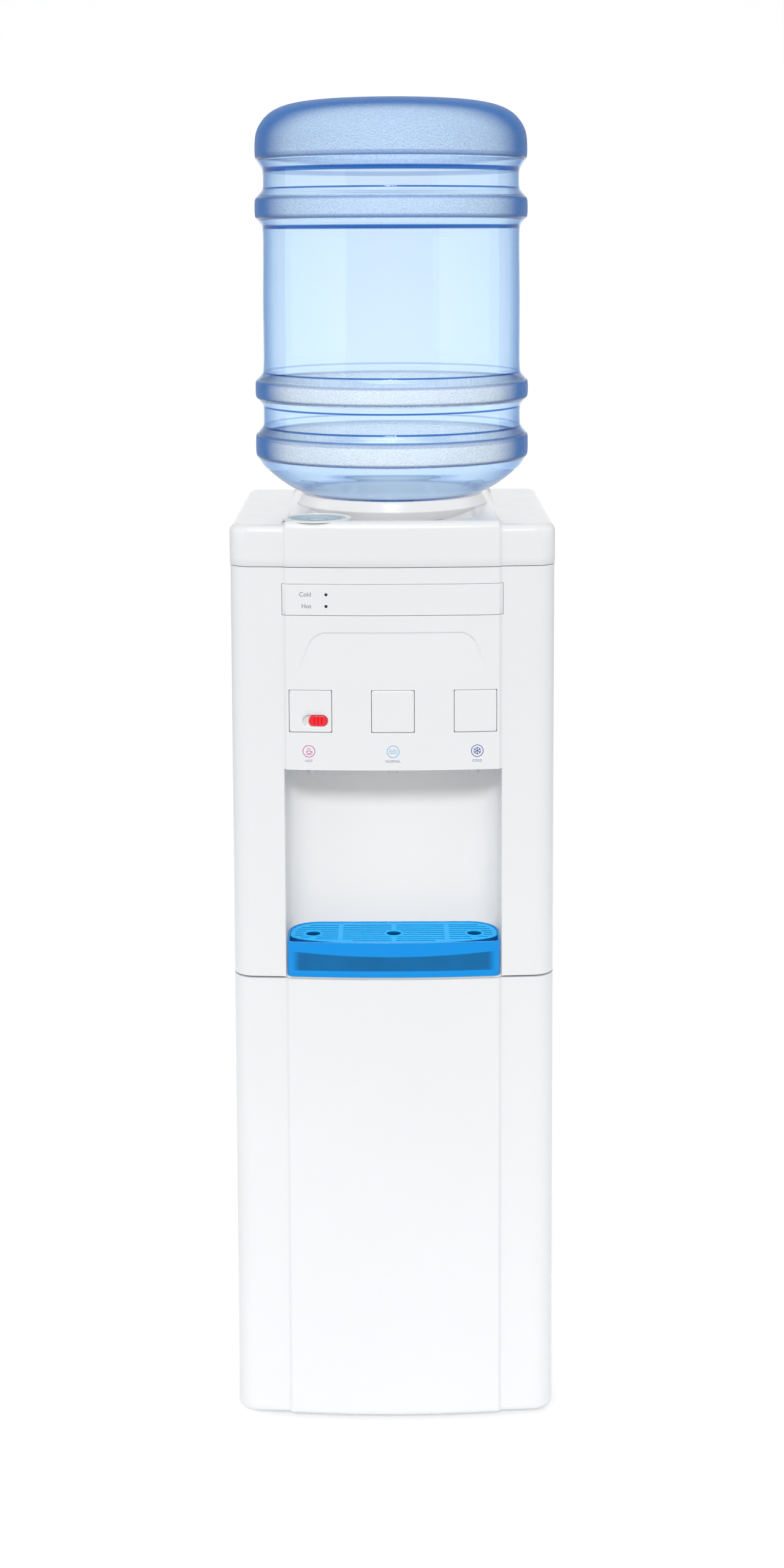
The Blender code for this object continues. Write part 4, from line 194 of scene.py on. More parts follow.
# %% A socket that can be calculated with
class Wire:
    """One value in a shader. Sums with it add Math nodes."""

    def __init__(self, paint, socket):
        self.paint, self.socket = paint, socket

    def maths(self, operation, *values):
        return self.paint.node("ShaderNodeMath", {"operation": operation}, dict(enumerate(values)))

    def __add__(self, other):
        return self.maths("ADD", self, other)

    def __sub__(self, other):
        return self.maths("SUBTRACT", self, other)

    def __rsub__(self, other):
        return self.maths("SUBTRACT", other, self)

    def __mul__(self, other):
        return self.maths("MULTIPLY", self, other)

    def __abs__(self):
        return self.maths("ABSOLUTE", self)

    __radd__, __rmul__ = __add__, __mul__


class Paint:
    """A material, the nodes in it, and the shader at its end."""

    def __init__(self, name):
        self.material = bpy.data.materials.new(name)
        self.material.use_nodes = True
        self.tree = self.material.node_tree
        self.shader = self.tree.nodes["Principled BSDF"]
        self.output = self.tree.nodes["Material Output"]

    def plug(self, socket, value):
        """Links a wire to a socket, or sets a plain value on it."""
        if isinstance(value, Wire):
            self.tree.links.new(value.socket, socket)
        elif hasattr(value, "__len__") and len(value) == 3 and socket.type == "RGBA":
            socket.default_value = (*value, 1)
        else:
            socket.default_value = value

    def node(self, kind, settings=None, sockets=None, output=0):
        """Adds a node: its settings first, then its sockets, by name or by number."""
        made = self.tree.nodes.new(kind)
        for key, value in (settings or {}).items():
            setattr(made, key, value)
        for key, value in (sockets or {}).items():
            self.plug(made.inputs[key], value)
        return Wire(self, made.outputs[output])

    def set(self, **sockets):
        """Sets the closing shader's sockets; an underscore stands for a space in a socket's name."""
        for key, value in sockets.items():
            self.plug(self.shader.inputs[key.replace("_", " ")], value)
        return self

    def place(self):
        """The object's own coordinates; every object here sits at the origin, so they are the scene's."""
        return self.node("ShaderNodeTexCoord", output=3)

    def along(self, axis):
        """One of those coordinates: 0 is across, 1 is depth and 2 is height."""
        return self.node("ShaderNodeSeparateXYZ", sockets={0: self.place()}, output=axis)

    def noise(self, scale, detail=2.0):
        """A cloudy value between 0 and 1."""
        sockets = {"Vector": self.place(), "Scale": scale, "Detail": detail}
        return self.node("ShaderNodeTexNoise", sockets=sockets)

    def grain(self, height, distance):
        """A bump whose hills are this high."""
        return self.node("ShaderNodeBump", sockets={"Height": height, "Distance": distance, "Strength": 1.0})

    def mix(self, share, first, second):
        """One colour turning into another as share goes from 0 to 1."""
        return self.node("ShaderNodeMix", {"data_type": "RGBA"}, {0: share, 6: first, 7: second}, output=2)


# %% [markdown]
# ## The finishes
#
# Injection-moulded white plastic shows a faint orange peel and a slow drift in its gloss. Powder-coated
# steel has a coarser peel and is less shiny, and sheet metal has a grain that runs one way. Each finish could
# be painted as an image, but noise on the object's own coordinates needs no unwrapping and has no seams. Two
# functions make all of them, and a finish is then one line: a colour, a gloss, and the size of its peel.

# %% White plastics and steel
def moulded(name, colour, gloss, drift=0.05, peel=0.00002, peel_scale=900.0):
    """Moulded plastic: colour drifts by a few per cent, roughness round a value, under a fine peel."""
    paint = Paint(name)
    cloud = paint.noise(6.0, 3.0)
    shade = tuple(part * 0.965 for part in colour)
    paint.set(
        Base_Color=paint.mix(cloud, shade, colour),
        Roughness=paint.noise(35.0) * drift + (gloss - drift / 2),
        Normal=paint.grain(paint.noise(peel_scale, 1.0), peel),
    )
    return paint.material


def brushed(name, colour, rough, stretch=(400.0, 6.0, 6.0)):
    """Sheet metal: a fine grain drawn out along one direction by a Mapping node."""
    paint = Paint(name)
    drawn = paint.node("ShaderNodeMapping", sockets={"Vector": paint.place(), "Scale": stretch})
    streaks = paint.node("ShaderNodeTexNoise", sockets={"Vector": drawn, "Scale": 1.0, "Detail": 3.0})
    paint.set(
        Base_Color=paint.mix(streaks, tuple(part * 0.8 for part in colour), colour),
        Metallic=1.0,
        Roughness=streaks * 0.2 + (rough - 0.1),
        Normal=paint.grain(streaks, 0.00003),
    )
    return paint.material


white_abs = moulded("white_abs", (0.665, 0.672, 0.685), 0.20)
white_satin = moulded("white_satin", (0.66, 0.667, 0.68), 0.34, peel=0.00003)
# Painted shade: the collar's white is a little darker than the rest of the white plastic.
collar_shaded_white = moulded("collar_shaded_white", (0.66, 0.665, 0.675), 0.20)
# Painted light: the liners are a brighter white than the rest of the white plastic, which lifts the shade in
# the recess.
liner_white = moulded("liner_white", (0.73, 0.74, 0.75), 0.16)
coated_steel = moulded("coated_steel", (0.70, 0.71, 0.725), 0.36, peel=0.00006, peel_scale=420.0)
grey_plastic = moulded("grey_plastic", (0.42, 0.43, 0.45), 0.45)
black_plastic = moulded("black_plastic", (0.018, 0.018, 0.02), 0.38)
black_rubber = moulded("black_rubber", (0.025, 0.025, 0.026), 0.75, peel=0.0001, peel_scale=700.0)
grey_rubber = moulded("grey_rubber", (0.55, 0.56, 0.58), 0.65, peel=0.0001, peel_scale=700.0)
silicone = moulded("silicone", (0.80, 0.82, 0.82), 0.40)
foam = moulded("foam", (0.88, 0.86, 0.80), 0.90, peel=0.0006, peel_scale=500.0)
black_enamel = moulded("black_enamel", (0.016, 0.016, 0.018), 0.30, peel=0.00008, peel_scale=300.0)
slider_red = moulded("slider_red", (0.72, 0.012, 0.022), 0.24)
rocker_red = moulded("rocker_red", (0.60, 0.02, 0.02), 0.25)
lamp_dark = moulded("lamp_dark", (0.012, 0.014, 0.018), 0.06)
rocker_green = moulded("rocker_green", (0.02, 0.32, 0.08), 0.25)
stainless = brushed("stainless", (0.60, 0.60, 0.61), 0.30)
zinc_sheet = brushed("zinc_sheet", (0.56, 0.57, 0.59), 0.42, (30.0, 30.0, 30.0))
spring_wire = brushed("spring_wire", (0.55, 0.55, 0.57), 0.30)
print("finishes:", len(bpy.data.materials))


# %% [markdown]
# ## Seamless paper
#
# In a studio the object stands on a roll of white paper. The paper matters twice here: it is the ground of
# the picture, and it is what is seen through the clear bottle. So light is painted on it: a bright pool with
# a little emission where the view meets it, and a pale grey beside that, which shows up as dark lines in the
# bottle's edges.

# %% Backdrop
def ramp(value, start, end):
    """0 up to start, 1 from end on, and a smooth step between them."""
    settings = {"interpolation_type": "SMOOTHSTEP"}
    return value.paint.node("ShaderNodeMapRange", settings, {0: value, 1: start, 2: end})


def paper_white():
    """Seamless paper with painted light: a bright pool with a little emission where the view meets it; off to
    the sides and near the camera it is a pale grey.

    The grey beside the painted pool is what draws the deep blue edges of the bottle. The pool widens with
    depth, as the view does, and it is painted less bright on the wall than on the floor.
    """
    paint = Paint("backdrop_paper")
    depth = paint.along(1)
    # Painted light: a bright pool with an emission where the view meets the paper, pale grey beside it,
    # dimmer up the wall.
    painted_light_pool = ramp(depth, -1.5, -0.6) * (1 - ramp(abs(paint.along(0)) - depth * 0.14, 0.9, 1.9))
    level = ramp(paint.along(2), 0.1, 2.0)
    bright = paint.mix(level, (0.86, 0.86, 0.86), (0.72, 0.72, 0.72))
    painted_glow = paint.mix(level, (0.15, 0.15, 0.15), (0.08, 0.08, 0.08))
    paint.set(
        Base_Color=paint.mix(painted_light_pool, (0.54, 0.54, 0.54), bright),
        Emission_Color=paint.mix(painted_light_pool, (0.0, 0.0, 0.0), painted_glow),
        Emission_Strength=1.0,
        Roughness=0.95,
    )
    return paint.material


floor.data.materials.append(paper_white())
print("backdrop:", floor.data.materials[0].name)


# %% [markdown]
# ## Blue plastics that light goes through
#
# The bottle is blown from clear blue plastic. A thin tinted glass would do for its wall, but not for its
# ribs: there the mould has left a frosted skin. The colour is painted deeper towards the silhouette, as
# painted shade, and every fold between a rib and a groove is painted as a thick dark line of shade. So the
# material is a glass with a dye inside, whose colour and gloss change with height, mixed on the ribs with a
# second shader that scatters light. The tray and its grille are a deeper blue that lets through only a little
# light; painted shade makes them darker inside the tray and on the walls of the grille's slots.

# %% Clear blue plastics
def absorbing(paint, colour, density):
    """Fills the wall with a dye, so light is tinted by the length of its way through the plastic."""
    dye = paint.tree.nodes.new("ShaderNodeVolumeAbsorption")
    dye.inputs["Color"].default_value = (*colour, 1)
    dye.inputs["Density"].default_value = density
    paint.tree.links.new(dye.outputs["Volume"], paint.output.inputs["Volume"])


def between(height, low_edge, high_edge, soft=0.004):
    """A band along a height: 1 between the two edges, with a soft ramp at each."""
    return ramp(height, low_edge - soft, low_edge) * ramp(height, high_edge + soft, high_edge)


# Painted shade: the colour of the dark lines along the bottle's folds.
FOLD_SHADE_BLUE = (0.0, 0.16, 0.50)


def blown_plastic(name, dye, density, frosted, seams, seat):
    """Clear dyed plastic: frosted in bands, with painted shade at its silhouette and along its folds.

    Painted shade deepens the colour towards the silhouette, early on the frosted bands and late on the clear
    wall; near the seat, where the shoulder is seen at a flat angle, it hardly does. On the frosted bands a
    second shader takes a share: the pits scatter light before it gets through, and the lower bands are
    painted paler, as painted light from the white deck. Seams are pairs of a level and half the width of a
    fold there; each fold is painted as a deep blue line of shade, and the folds fade on the far side.
    """
    paint = Paint(name)
    height = paint.along(2)
    frost = sum(between(height, *edges) for edges in frosted)
    # Painted shade: a deep blue line along each fold, weaker on the far side of the bottle.
    fold = sum(between(height, at - half, at + half, 0.0012) for at, half in seams)
    fold = fold * (1 - ramp(paint.along(1), BOTTLE_Y - 0.02, BOTTLE_Y + 0.05) * 0.6)
    # Painted shade: the colours below darken towards the silhouette by the angle to the view, less so near
    # the seat.
    edge = paint.node("ShaderNodeLayerWeight", sockets={"Blend": 0.42}, output=1)
    upright = ramp(height, seat + 0.006, seat + 0.030) * 0.8 + 0.2
    speckle = paint.noise(560.0, 3.0)
    clear = paint.mix(ramp(edge, 0.45, 0.85) * upright, (0.98, 0.99, 1.0), (0.02, 0.36, 0.74))
    misted = paint.mix(ramp(edge, 0.32, 0.62), (0.99, 0.995, 1.0), (0.0, 0.20, 0.52))
    skin = paint.mix(frost, clear, misted)
    pitted = paint.grain(frost * speckle + paint.noise(9.0) * 0.25, 0.0016)
    paint.set(
        Base_Color=paint.mix(fold * 0.95, skin, FOLD_SHADE_BLUE),
        Roughness=frost * (speckle * 0.14 + 0.04) + 0.02,
        Normal=pitted,
        IOR=1.35,
        Transmission_Weight=1.0,
    )
    # Painted light: the lower frosted bands are paler, for light from the white deck; painted shade darkens
    # them towards the silhouette.
    painted_deck_light = paint.mix(ramp(height, seat + 0.10, seat + 0.28), (0.84, 0.92, 1.0), (0.54, 0.71, 0.94))
    milky = paint.mix(ramp(edge, 0.24, 0.58), painted_deck_light, (0.0, 0.13, 0.46))
    sockets = {"Base Color": milky, "Roughness": 0.45, "Normal": pitted}
    scattering = paint.node("ShaderNodeBsdfPrincipled", sockets=sockets)
    share = frost * (speckle * 0.24 + 0.31 + ramp(edge, 0.36, 0.66) * 0.35)
    clear_shader = Wire(paint, paint.shader.outputs[0])
    both = paint.node("ShaderNodeMixShader", sockets={0: share, 1: clear_shader, 2: scattering})
    paint.tree.links.new(both.socket, paint.output.inputs["Surface"])
    absorbing(paint, dye, density)
    return paint.material


def tray_plastic(name, colour, deep, box):
    """The tray's blue, with painted shade: dark everywhere behind its front wall below the level of the
    grille, and darker on its front wall where only the empty trough lies behind it.

    That part of the front wall lies between the floor of the tray and the skirt of the grille, whose lower
    edge bows down in the middle, and it ends short of both side walls.
    """
    paint = Paint(name)
    across, depth, height = abs(paint.along(0)), paint.along(1), paint.along(2)
    front, foot, top, half = box[0][1], box[0][2], box[1][2], box[1][0]
    # Painted shade: everything behind the front wall, below the grille, takes the deep colour.
    inside = ramp(depth, front + 0.0085, front + 0.0125) * (1 - ramp(height, top - 0.0125, top - 0.0105))
    # Painted shade on the front wall where only the empty trough lies behind it.
    over_floor = ramp(height, foot + 0.0060, foot + 0.0072)
    under_skirt = 1 - ramp(height - across * across * 0.45, top - 0.0150, top - 0.0138)
    trough = over_floor * under_skirt * (1 - ramp(across, half - 0.0140, half - 0.0040))
    cloud = paint.noise(30.0, 2.0)
    painted_trough_shade = paint.mix(cloud, deep, tuple(part * 1.5 for part in deep))
    paint.set(
        Base_Color=paint.mix(inside, paint.mix(trough, colour, painted_trough_shade), deep),
        Roughness=cloud * 0.04 + 0.07,
        Normal=paint.grain(paint.noise(700.0, 1.0), 0.00002),
        IOR=1.45,
        Specular_IOR_Level=0.3,
        Transmission_Weight=0.35,
    )
    return paint.material


def dyed_plastic(name, colour, gloss, see_through):
    """Deep-coloured translucent plastic, whose wall lets a share of the light through."""
    paint = Paint(name)
    cloud = paint.noise(14.0, 2.0)
    paint.set(
        Base_Color=paint.mix(cloud, tuple(part * 0.92 for part in colour), colour),
        Roughness=paint.noise(60.0) * 0.04 + gloss,
        Normal=paint.grain(paint.noise(700.0, 1.0), 0.00002),
        IOR=1.45,
        Transmission_Weight=see_through,
    )
    return paint.material


def grille_plastic(name, colour, deep, top):
    """The grille's blue, with painted shade: bright on top of its bars, dark from about a millimetre below
    their tops, on the walls of the slots between them.
    """
    paint = Paint(name)
    cloud = paint.noise(40.0, 2.0)
    lit = paint.mix(cloud, tuple(part * 0.9 for part in colour), colour)
    paint.set(
        # Painted shade: below the tops of the bars the colour turns to the deep blue.
        Base_Color=paint.mix(ramp(paint.along(2), top - 0.0013, top - 0.0006), deep, lit),
        Roughness=cloud * 0.06 + 0.36,
        Normal=paint.grain(paint.noise(700.0, 1.0), 0.00002),
        IOR=1.45,
        Specular_IOR_Level=0.12,
        Transmission_Weight=0.08,
    )
    return paint.material


SEAT = low("bottle")[2] + 0.083  # where the shoulder of the bottle rests on its collar
BOTTLE_TALL = high("bottle")[2] - SEAT
BAND_SHARES = [(0.104, 0.148), (0.252, 0.286), (0.708, 0.748), (0.858, 1.2)]  # of the height over the seat
bands = [(SEAT + start * BOTTLE_TALL, SEAT + end * BOTTLE_TALL) for start, end in BAND_SHARES]
FOLD_SHARES = [  # of the same height, with half the width of each fold
    (0.004, 0.0010), (0.100, 0.0008), (0.150, 0.0020), (0.174, 0.0004), (0.226, 0.0004), (0.250, 0.0005),
    (0.288, 0.0006), (0.312, 0.0003), (0.680, 0.0014), (0.706, 0.0012), (0.750, 0.0006), (0.776, 0.0003),
    (0.823, 0.0018), (0.857, 0.0018),
]
folds = [(SEAT + at * BOTTLE_TALL, half) for at, half in FOLD_SHARES]
bottle_blue = blown_plastic("bottle_blue", (0.12, 0.51, 0.85), 175.0, bands, folds, SEAT)
# The second colour is the painted shade inside the tray.
tray_blue = tray_plastic("tray_blue", (0.001, 0.31, 0.80), (0.0, 0.12, 0.31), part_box("drip_tray"))
# The second colour is the painted shade in the grille's slots.
grille_blue = grille_plastic("grille_blue", (0.004, 0.46, 1.0), (0.0, 0.07, 0.25), high("drip_grille")[2])
cap_blue = dyed_plastic("cap_blue", (0.44, 0.55, 0.62), 0.16, 0.20)
print("finishes:", len(bpy.data.materials))


# %% [markdown]
# ## Dressing the solids that stay
#
# A solid whose shape is right keeps it and takes a better finish: each node's material slot gets one of the
# materials above. What is made again further down is hidden there.

# %% Finishes of the carried-over solids
def coat(material, *names):
    """Gives these solids one material."""
    for name in names:
        for slot in nodes[name].material_slots:
            slot.material = material


coat(white_abs, "front_fascia", "door_panel", "top_cover", "label_plate", "bottle_collar", "bottle_cap")
coat(white_abs, "hot_button", "normal_button", "cold_button", "hot_tap", "normal_tap", "cold_tap")
coat(white_abs, "water_probe", "drain_outlet", "drain_cap")
coat(liner_white, "recess_liner", "cabinet_liner", "door_liner")
coat(coated_steel, "left_side_panel", "right_side_panel")
coat(zinc_sheet, "back_panel", "base_pan", "mid_deck", "upper_hinge", "lower_hinge")
coat(foam, "cabinet_insulation", "tank_insulation")
coat(stainless, "cold_tank", "hot_tank")
coat(silicone, "cold_hose", "hot_hose", "normal_hose", "feed_hose")
coat(spring_wire, "hot_spring", "normal_spring", "cold_spring")
coat(grey_plastic, "cabinet_shelf", "hot_plunger", "normal_plunger", "cold_plunger")
coat(black_plastic, "switch_plate")
coat(black_rubber, "front_left_foot", "front_right_foot", "rear_left_foot", "rear_right_foot", "cord_bush")
coat(grey_rubber, "door_gasket")
coat(black_enamel, "compressor", "condenser")
coat(slider_red, "child_lock_slider")
coat(rocker_red, "hot_rocker")
coat(rocker_green, "cold_rocker")
coat(tray_blue, "drip_tray")
coat(grille_blue, "drip_grille")
coat(cap_blue, "deck_cap")
coat(bottle_blue, "bottle")
coat(lamp_dark, "hot_lamp", "cold_lamp")
finished = sum(node.material_slots[0].material.name in bpy.data.materials for node in nodes.values())
print("solids with a finish:", finished, "of", len(nodes))


# %% [markdown]
# ## From arrays to pieces
#
# A surface here is an array of points with two directions, rows and columns. One helper turns such an array
# into a mesh, leaving out cells where a window or an opening is. A second one names the piece, says which
# moving body it rides on and which solid it stands for, and finishes its edges with modifiers.

# %% Array to mesh, mesh to piece
def grid_faces(rows, columns, wrap_rows=False, wrap_columns=False):
    """The four corner numbers of every cell of a grid, as one array."""
    row = np.arange(rows if wrap_rows else rows - 1)
    column = np.arange(columns if wrap_columns else columns - 1)
    r, c = np.meshgrid(row, column, indexing="ij")
    r1, c1 = (r + 1) % rows, (c + 1) % columns
    return np.stack([r * columns + c, r * columns + c1, r1 * columns + c1, r1 * columns + c], axis=-1)


def grid_mesh(name, points, keep=None, wrap_rows=False, wrap_columns=False):
    """A mesh from points[row, column]; keep is True for the cells to fill."""
    rows, columns = points.shape[:2]
    faces = grid_faces(rows, columns, wrap_rows, wrap_columns)
    faces = faces[keep] if keep is not None else faces.reshape(-1, 4)
    mesh = bpy.data.meshes.new(name)
    mesh.from_pydata(points.reshape(-1, 3).tolist(), [], faces.tolist())
    return mesh


def tidied(mesh):
    """Merges doubles, drops loose points, and turns the faces outwards."""
    bm = bmesh.new()
    bm.from_mesh(mesh)
    bmesh.ops.remove_doubles(bm, verts=bm.verts, dist=1e-6)
    bmesh.ops.delete(bm, geom=[v for v in bm.verts if not v.link_faces], context="VERTS")
    bmesh.ops.recalc_face_normals(bm, faces=bm.faces)
    bm.to_mesh(mesh)
    bm.free()
    return mesh


def dressed(mesh, name, body, material, stands_for=None, wall=0.0, edge=0.0, edge_angle=40, smooth=32):
    """A finished piece: rides on a body, may stand for a solid, and has its wall and its rounded edges."""
    thing = bpy.data.objects.new(name, mesh)
    bpy.context.scene.collection.objects.link(thing)
    mesh.materials.clear()
    mesh.materials.append(material)
    mesh.shade_smooth()
    mesh.set_sharp_from_angle(angle=radians(smooth))
    if wall:
        shell = thing.modifiers.new("wall", "SOLIDIFY")
        shell.thickness, shell.offset, shell.use_even_offset = wall, -1.0, True
    if edge:
        bevel = thing.modifiers.new("edges", "BEVEL")
        bevel.width, bevel.segments = edge, 2
        bevel.limit_method, bevel.angle_limit = "ANGLE", radians(edge_angle)
        bevel.harden_normals = True
    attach(thing, body)
    if stands_for:
        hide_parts(stands_for)
    return thing


def smoothed(node, material, body, name, edge):
    """A copy of a solid with its loose triangles joined, flat ones merged, and its edges rounded."""
    mesh = nodes[node].data.copy()
    bm = bmesh.new()
    bm.from_mesh(mesh)
    bmesh.ops.remove_doubles(bm, verts=bm.verts, dist=2e-6)
    bmesh.ops.dissolve_limit(bm, angle_limit=radians(0.6), verts=bm.verts, edges=bm.edges)
    bm.to_mesh(mesh)
    bm.free()
    return dressed(mesh, name, body, material, node, edge=edge, edge_angle=35)


# %% [markdown]
# ## The bowed front
#
# Fascia, door, label plate and buttons share one section in plan. Its middle is a shallow parabola, a step
# 2.8 mm wide falls away on each side of it, the side parts sweep back a little, and a round corner leads
# into the flank. A curve drawn by hand for each piece would never quite match from piece to piece, so one
# function gives the depth at any width. The mould has no sharp corner anywhere, so that depth is averaged
# over a millimetre.

# %% Depth of the front at any width
BOW_HALF, BOW_RISE = 0.1057, 0.0052
STEP = 0.0028
SIDE_SWEEP = 0.0018
CORNER = 0.022
CORNER_X = HALF_WIDTH - CORNER


def sharp_depth(x):
    """Depth behind the foremost line: a parabola, then a straight step, then a slow sweep."""
    x = np.abs(x)
    places = [BOW_HALF, BOW_HALF + STEP, CORNER_X]
    depths = [BOW_RISE, BOW_RISE + STEP, BOW_RISE + STEP + SIDE_SWEEP]
    return np.where(x < BOW_HALF, BOW_RISE * (x / BOW_HALF) ** 2, np.interp(x, places, depths))


def front_y(x, blur=0.0006):
    """The sharp depth averaged over a window of twice the blur, which rounds its corners."""
    offsets = np.linspace(-blur, blur, 7)
    return FRONT + sharp_depth(np.asarray(x)[..., None] + offsets).mean(axis=-1)


def section(middle, back, inset=0.0, corner_steps=14):
    """The front in plan from flank to flank: middle holds the x stations of its flat part.

    An inset moves the curve back, and draws the corners and flanks in by the same amount.
    """
    angle = np.linspace(pi, 1.5 * pi, corner_steps + 1)[:-1]
    radius = CORNER - inset
    centre_y = front_y(CORNER_X) + CORNER
    left = np.stack([-CORNER_X + radius * np.cos(angle), centre_y + radius * np.sin(angle)], axis=-1)
    face = np.stack([middle, front_y(middle) + inset], axis=-1)
    right = left[::-1] * [-1, 1]
    flank = np.array([[-HALF_WIDTH + inset, back]])
    return np.concatenate([flank, left, face, right, flank * [-1, 1]])


def stations(*edges, pitch=0.004):
    """Even x stations across the front, with the step's own and each edge given put in."""
    even = np.linspace(-CORNER_X, CORNER_X, int(2 * CORNER_X / pitch) + 1)
    step = np.linspace(BOW_HALF - 0.001, BOW_HALF + STEP + 0.001, 13)
    found = np.concatenate([even, step, -step, *[np.atleast_1d(e) for e in edges]])
    return np.unique(np.round(found, 5))


print("depth at the step:", round(float(sharp_depth(BOW_HALF + STEP)) * 1000, 2), "mm")


# %% [markdown]
# ## The fascia
#
# The real fascia is one moulding, 3 mm thick. It is made as a single grid wrapped round the front section:
# columns stand at every window edge, rows at every level where something begins. Cells inside the three
# button windows and the dispensing recess are left out. The shallow panel over the buttons is a change of
# depth: a signed distance to a trapezoid with round upper corners says how far inside a point lies, and a
# smooth step of that distance pushes the surface back.

# %% Fascia surface
WINDOW = BUTTON_HALF + 0.0005
RECESS_HALF = 0.1088
POCKET_GAP = 0.0004  # round the label plate
RELIEF_TOP, RELIEF_FOOT = FASCIA_TOP - 0.0645, FASCIA_TOP - 0.1135
RELIEF_HALVES = (0.079, 0.098)  # half width at its top and at its foot
RELIEF_ROUND = 0.012
RELIEF_DEPTH = 0.0014
RELIEF_WALL = 0.0009  # width of the slope at its outline


def relief(x, z):
    """How far the shallow panel lies back at (x, z).

    Inside a trapezoid the depth grows from nothing at the foot to its full value at the top. The outline
    is the trapezoid drawn in by the corner radius and grown out again, which rounds its upper corners.
    """
    height = RELIEF_TOP - RELIEF_FOOT
    lean = (RELIEF_HALVES[1] - RELIEF_HALVES[0]) / height
    along = np.sqrt(1 + lean**2)
    side = (RELIEF_HALVES[0] + lean * (RELIEF_TOP - z) - np.abs(x)) / along
    top = RELIEF_TOP - z
    a, b = RELIEF_ROUND - side, RELIEF_ROUND - top
    corner = RELIEF_ROUND - np.hypot(np.maximum(a, 0), np.maximum(b, 0))
    inside = np.where((a > 0) & (b > 0), corner, np.minimum(side, top))
    wall = np.clip(inside / RELIEF_WALL, 0, 1)
    share = np.clip((z - RELIEF_FOOT) / height, 0, 1)
    return RELIEF_DEPTH * share * wall * wall * (3 - 2 * wall)


def fascia():
    """The front section at every level; cells in the windows, the pocket and the recess are left out."""
    windows = np.add.outer([-BUTTON_PITCH, 0, BUTTON_PITCH], [-WINDOW, WINDOW]).ravel()
    fine = np.arange(-0.101, 0.1011, 0.0011)
    pocket = PLATE_HALF + POCKET_GAP
    x = stations(windows, fine, [-pocket, pocket, -RECESS_HALF, RECESS_HALF])
    levels = np.concatenate([
        [FASCIA_FOOT, FASCIA_FOOT + 0.1, LIP, BUTTON_LEVEL - WINDOW, BUTTON_LEVEL + WINDOW],
        np.arange(RELIEF_FOOT - 0.001, RELIEF_TOP + 0.0021, 0.0009),
        [PLATE_LOW - POCKET_GAP, PLATE_HIGH + POCKET_GAP, FASCIA_TOP - 0.006, FASCIA_TOP],
    ])
    plan = section(x, FLANK_END)
    z = np.unique(np.round(levels, 5))
    points = np.empty((len(z), len(plan), 3))
    points[..., 0], points[..., 1] = plan[:, 0], plan[:, 1]
    points[..., 2] = z[:, None]
    on_face = np.abs(plan[:, 0]) < 0.105
    points[..., 1] += np.where(on_face, relief(points[..., 0], points[..., 2]), 0)

    middle_x = (plan[1:, 0] + plan[:-1, 0]) / 2
    middle_y = (plan[1:, 1] + plan[:-1, 1]) / 2
    middle_z = (z[1:] + z[:-1]) / 2
    in_front = middle_y < FRONT + 0.012
    recess = np.logical_and.outer(middle_z < LIP, (np.abs(middle_x) < RECESS_HALF) & in_front)
    across = np.abs(np.mod(middle_x + BUTTON_PITCH / 2, BUTTON_PITCH) - BUTTON_PITCH / 2) < WINDOW
    across &= (np.abs(middle_x) < BUTTON_PITCH * 1.5) & in_front
    window = np.logical_and.outer(np.abs(middle_z - BUTTON_LEVEL) < WINDOW, across)
    beside = (middle_z > PLATE_LOW - POCKET_GAP) & (middle_z < PLATE_HIGH + POCKET_GAP)
    plate_pocket = np.logical_and.outer(beside, (np.abs(middle_x) < pocket) & in_front)
    return tidied(grid_mesh("fascia_skin", points, ~(recess | window | plate_pocket)))


fascia_skin = dressed(
    fascia(), "fascia_skin", "cabinet", white_abs, "front_fascia", wall=0.003, edge=0.0004, edge_angle=50
)
print("fascia cells:", len(fascia_skin.data.polygons))


# %% [markdown]
# ## The door
#
# The door wears the same section. Its rows run down the front, and where the bottom edge is rounded, each
# row is drawn in a little. A last row at each end lies on the back line, which closes the top and the
# bottom, and a Solidify modifier gives the moulding its wall.

# %% Door surface
def at_level(plan, z):
    """An outline in plan lifted to a level, which is one number or one for each of its points."""
    return np.column_stack([plan, np.broadcast_to(z, len(plan))])


def door(radius=0.006):
    """The front section at every level; radius is that of the bottom edge."""
    x = stations()
    angle = np.linspace(0, pi / 2, 7)
    rows = [(DOOR_TOP, 0.0), (DOOR_TOP - 0.004, 0.0), (DOOR_TOP - 0.2, 0.0)]
    rows += [(DOOR_FOOT + radius - radius * sin(a), radius - radius * cos(a)) for a in angle]
    rings = [at_level(section(x, DOOR_BACK, inset), z) for z, inset in rows]
    lids = [rings[0].copy(), rings[-1].copy()]
    for lid in lids:
        lid[:, 1] = DOOR_BACK
    return tidied(grid_mesh("door_skin", np.stack([lids[0], *rings, lids[1]])))


door_skin = dressed(
    door(), "door_skin", "door", white_abs, "door_panel", wall=0.0024, edge=0.0006, edge_angle=50
)
print("door skin cells:", len(door_skin.data.polygons))


# %% [markdown]
# ## The bottle
#
# A blown bottle is a surface of revolution. Its side was measured as pairs of height and radius: neck,
# shoulder, three ribs with grooves between them, the long wall, a broad band and the domed base, which is on
# top here. A smooth curve through those pairs is spun round the axis. The wall is 1.6 mm of clear blue
# plastic, and a Solidify modifier gives it, so light passes two skins on each side as in the real one.

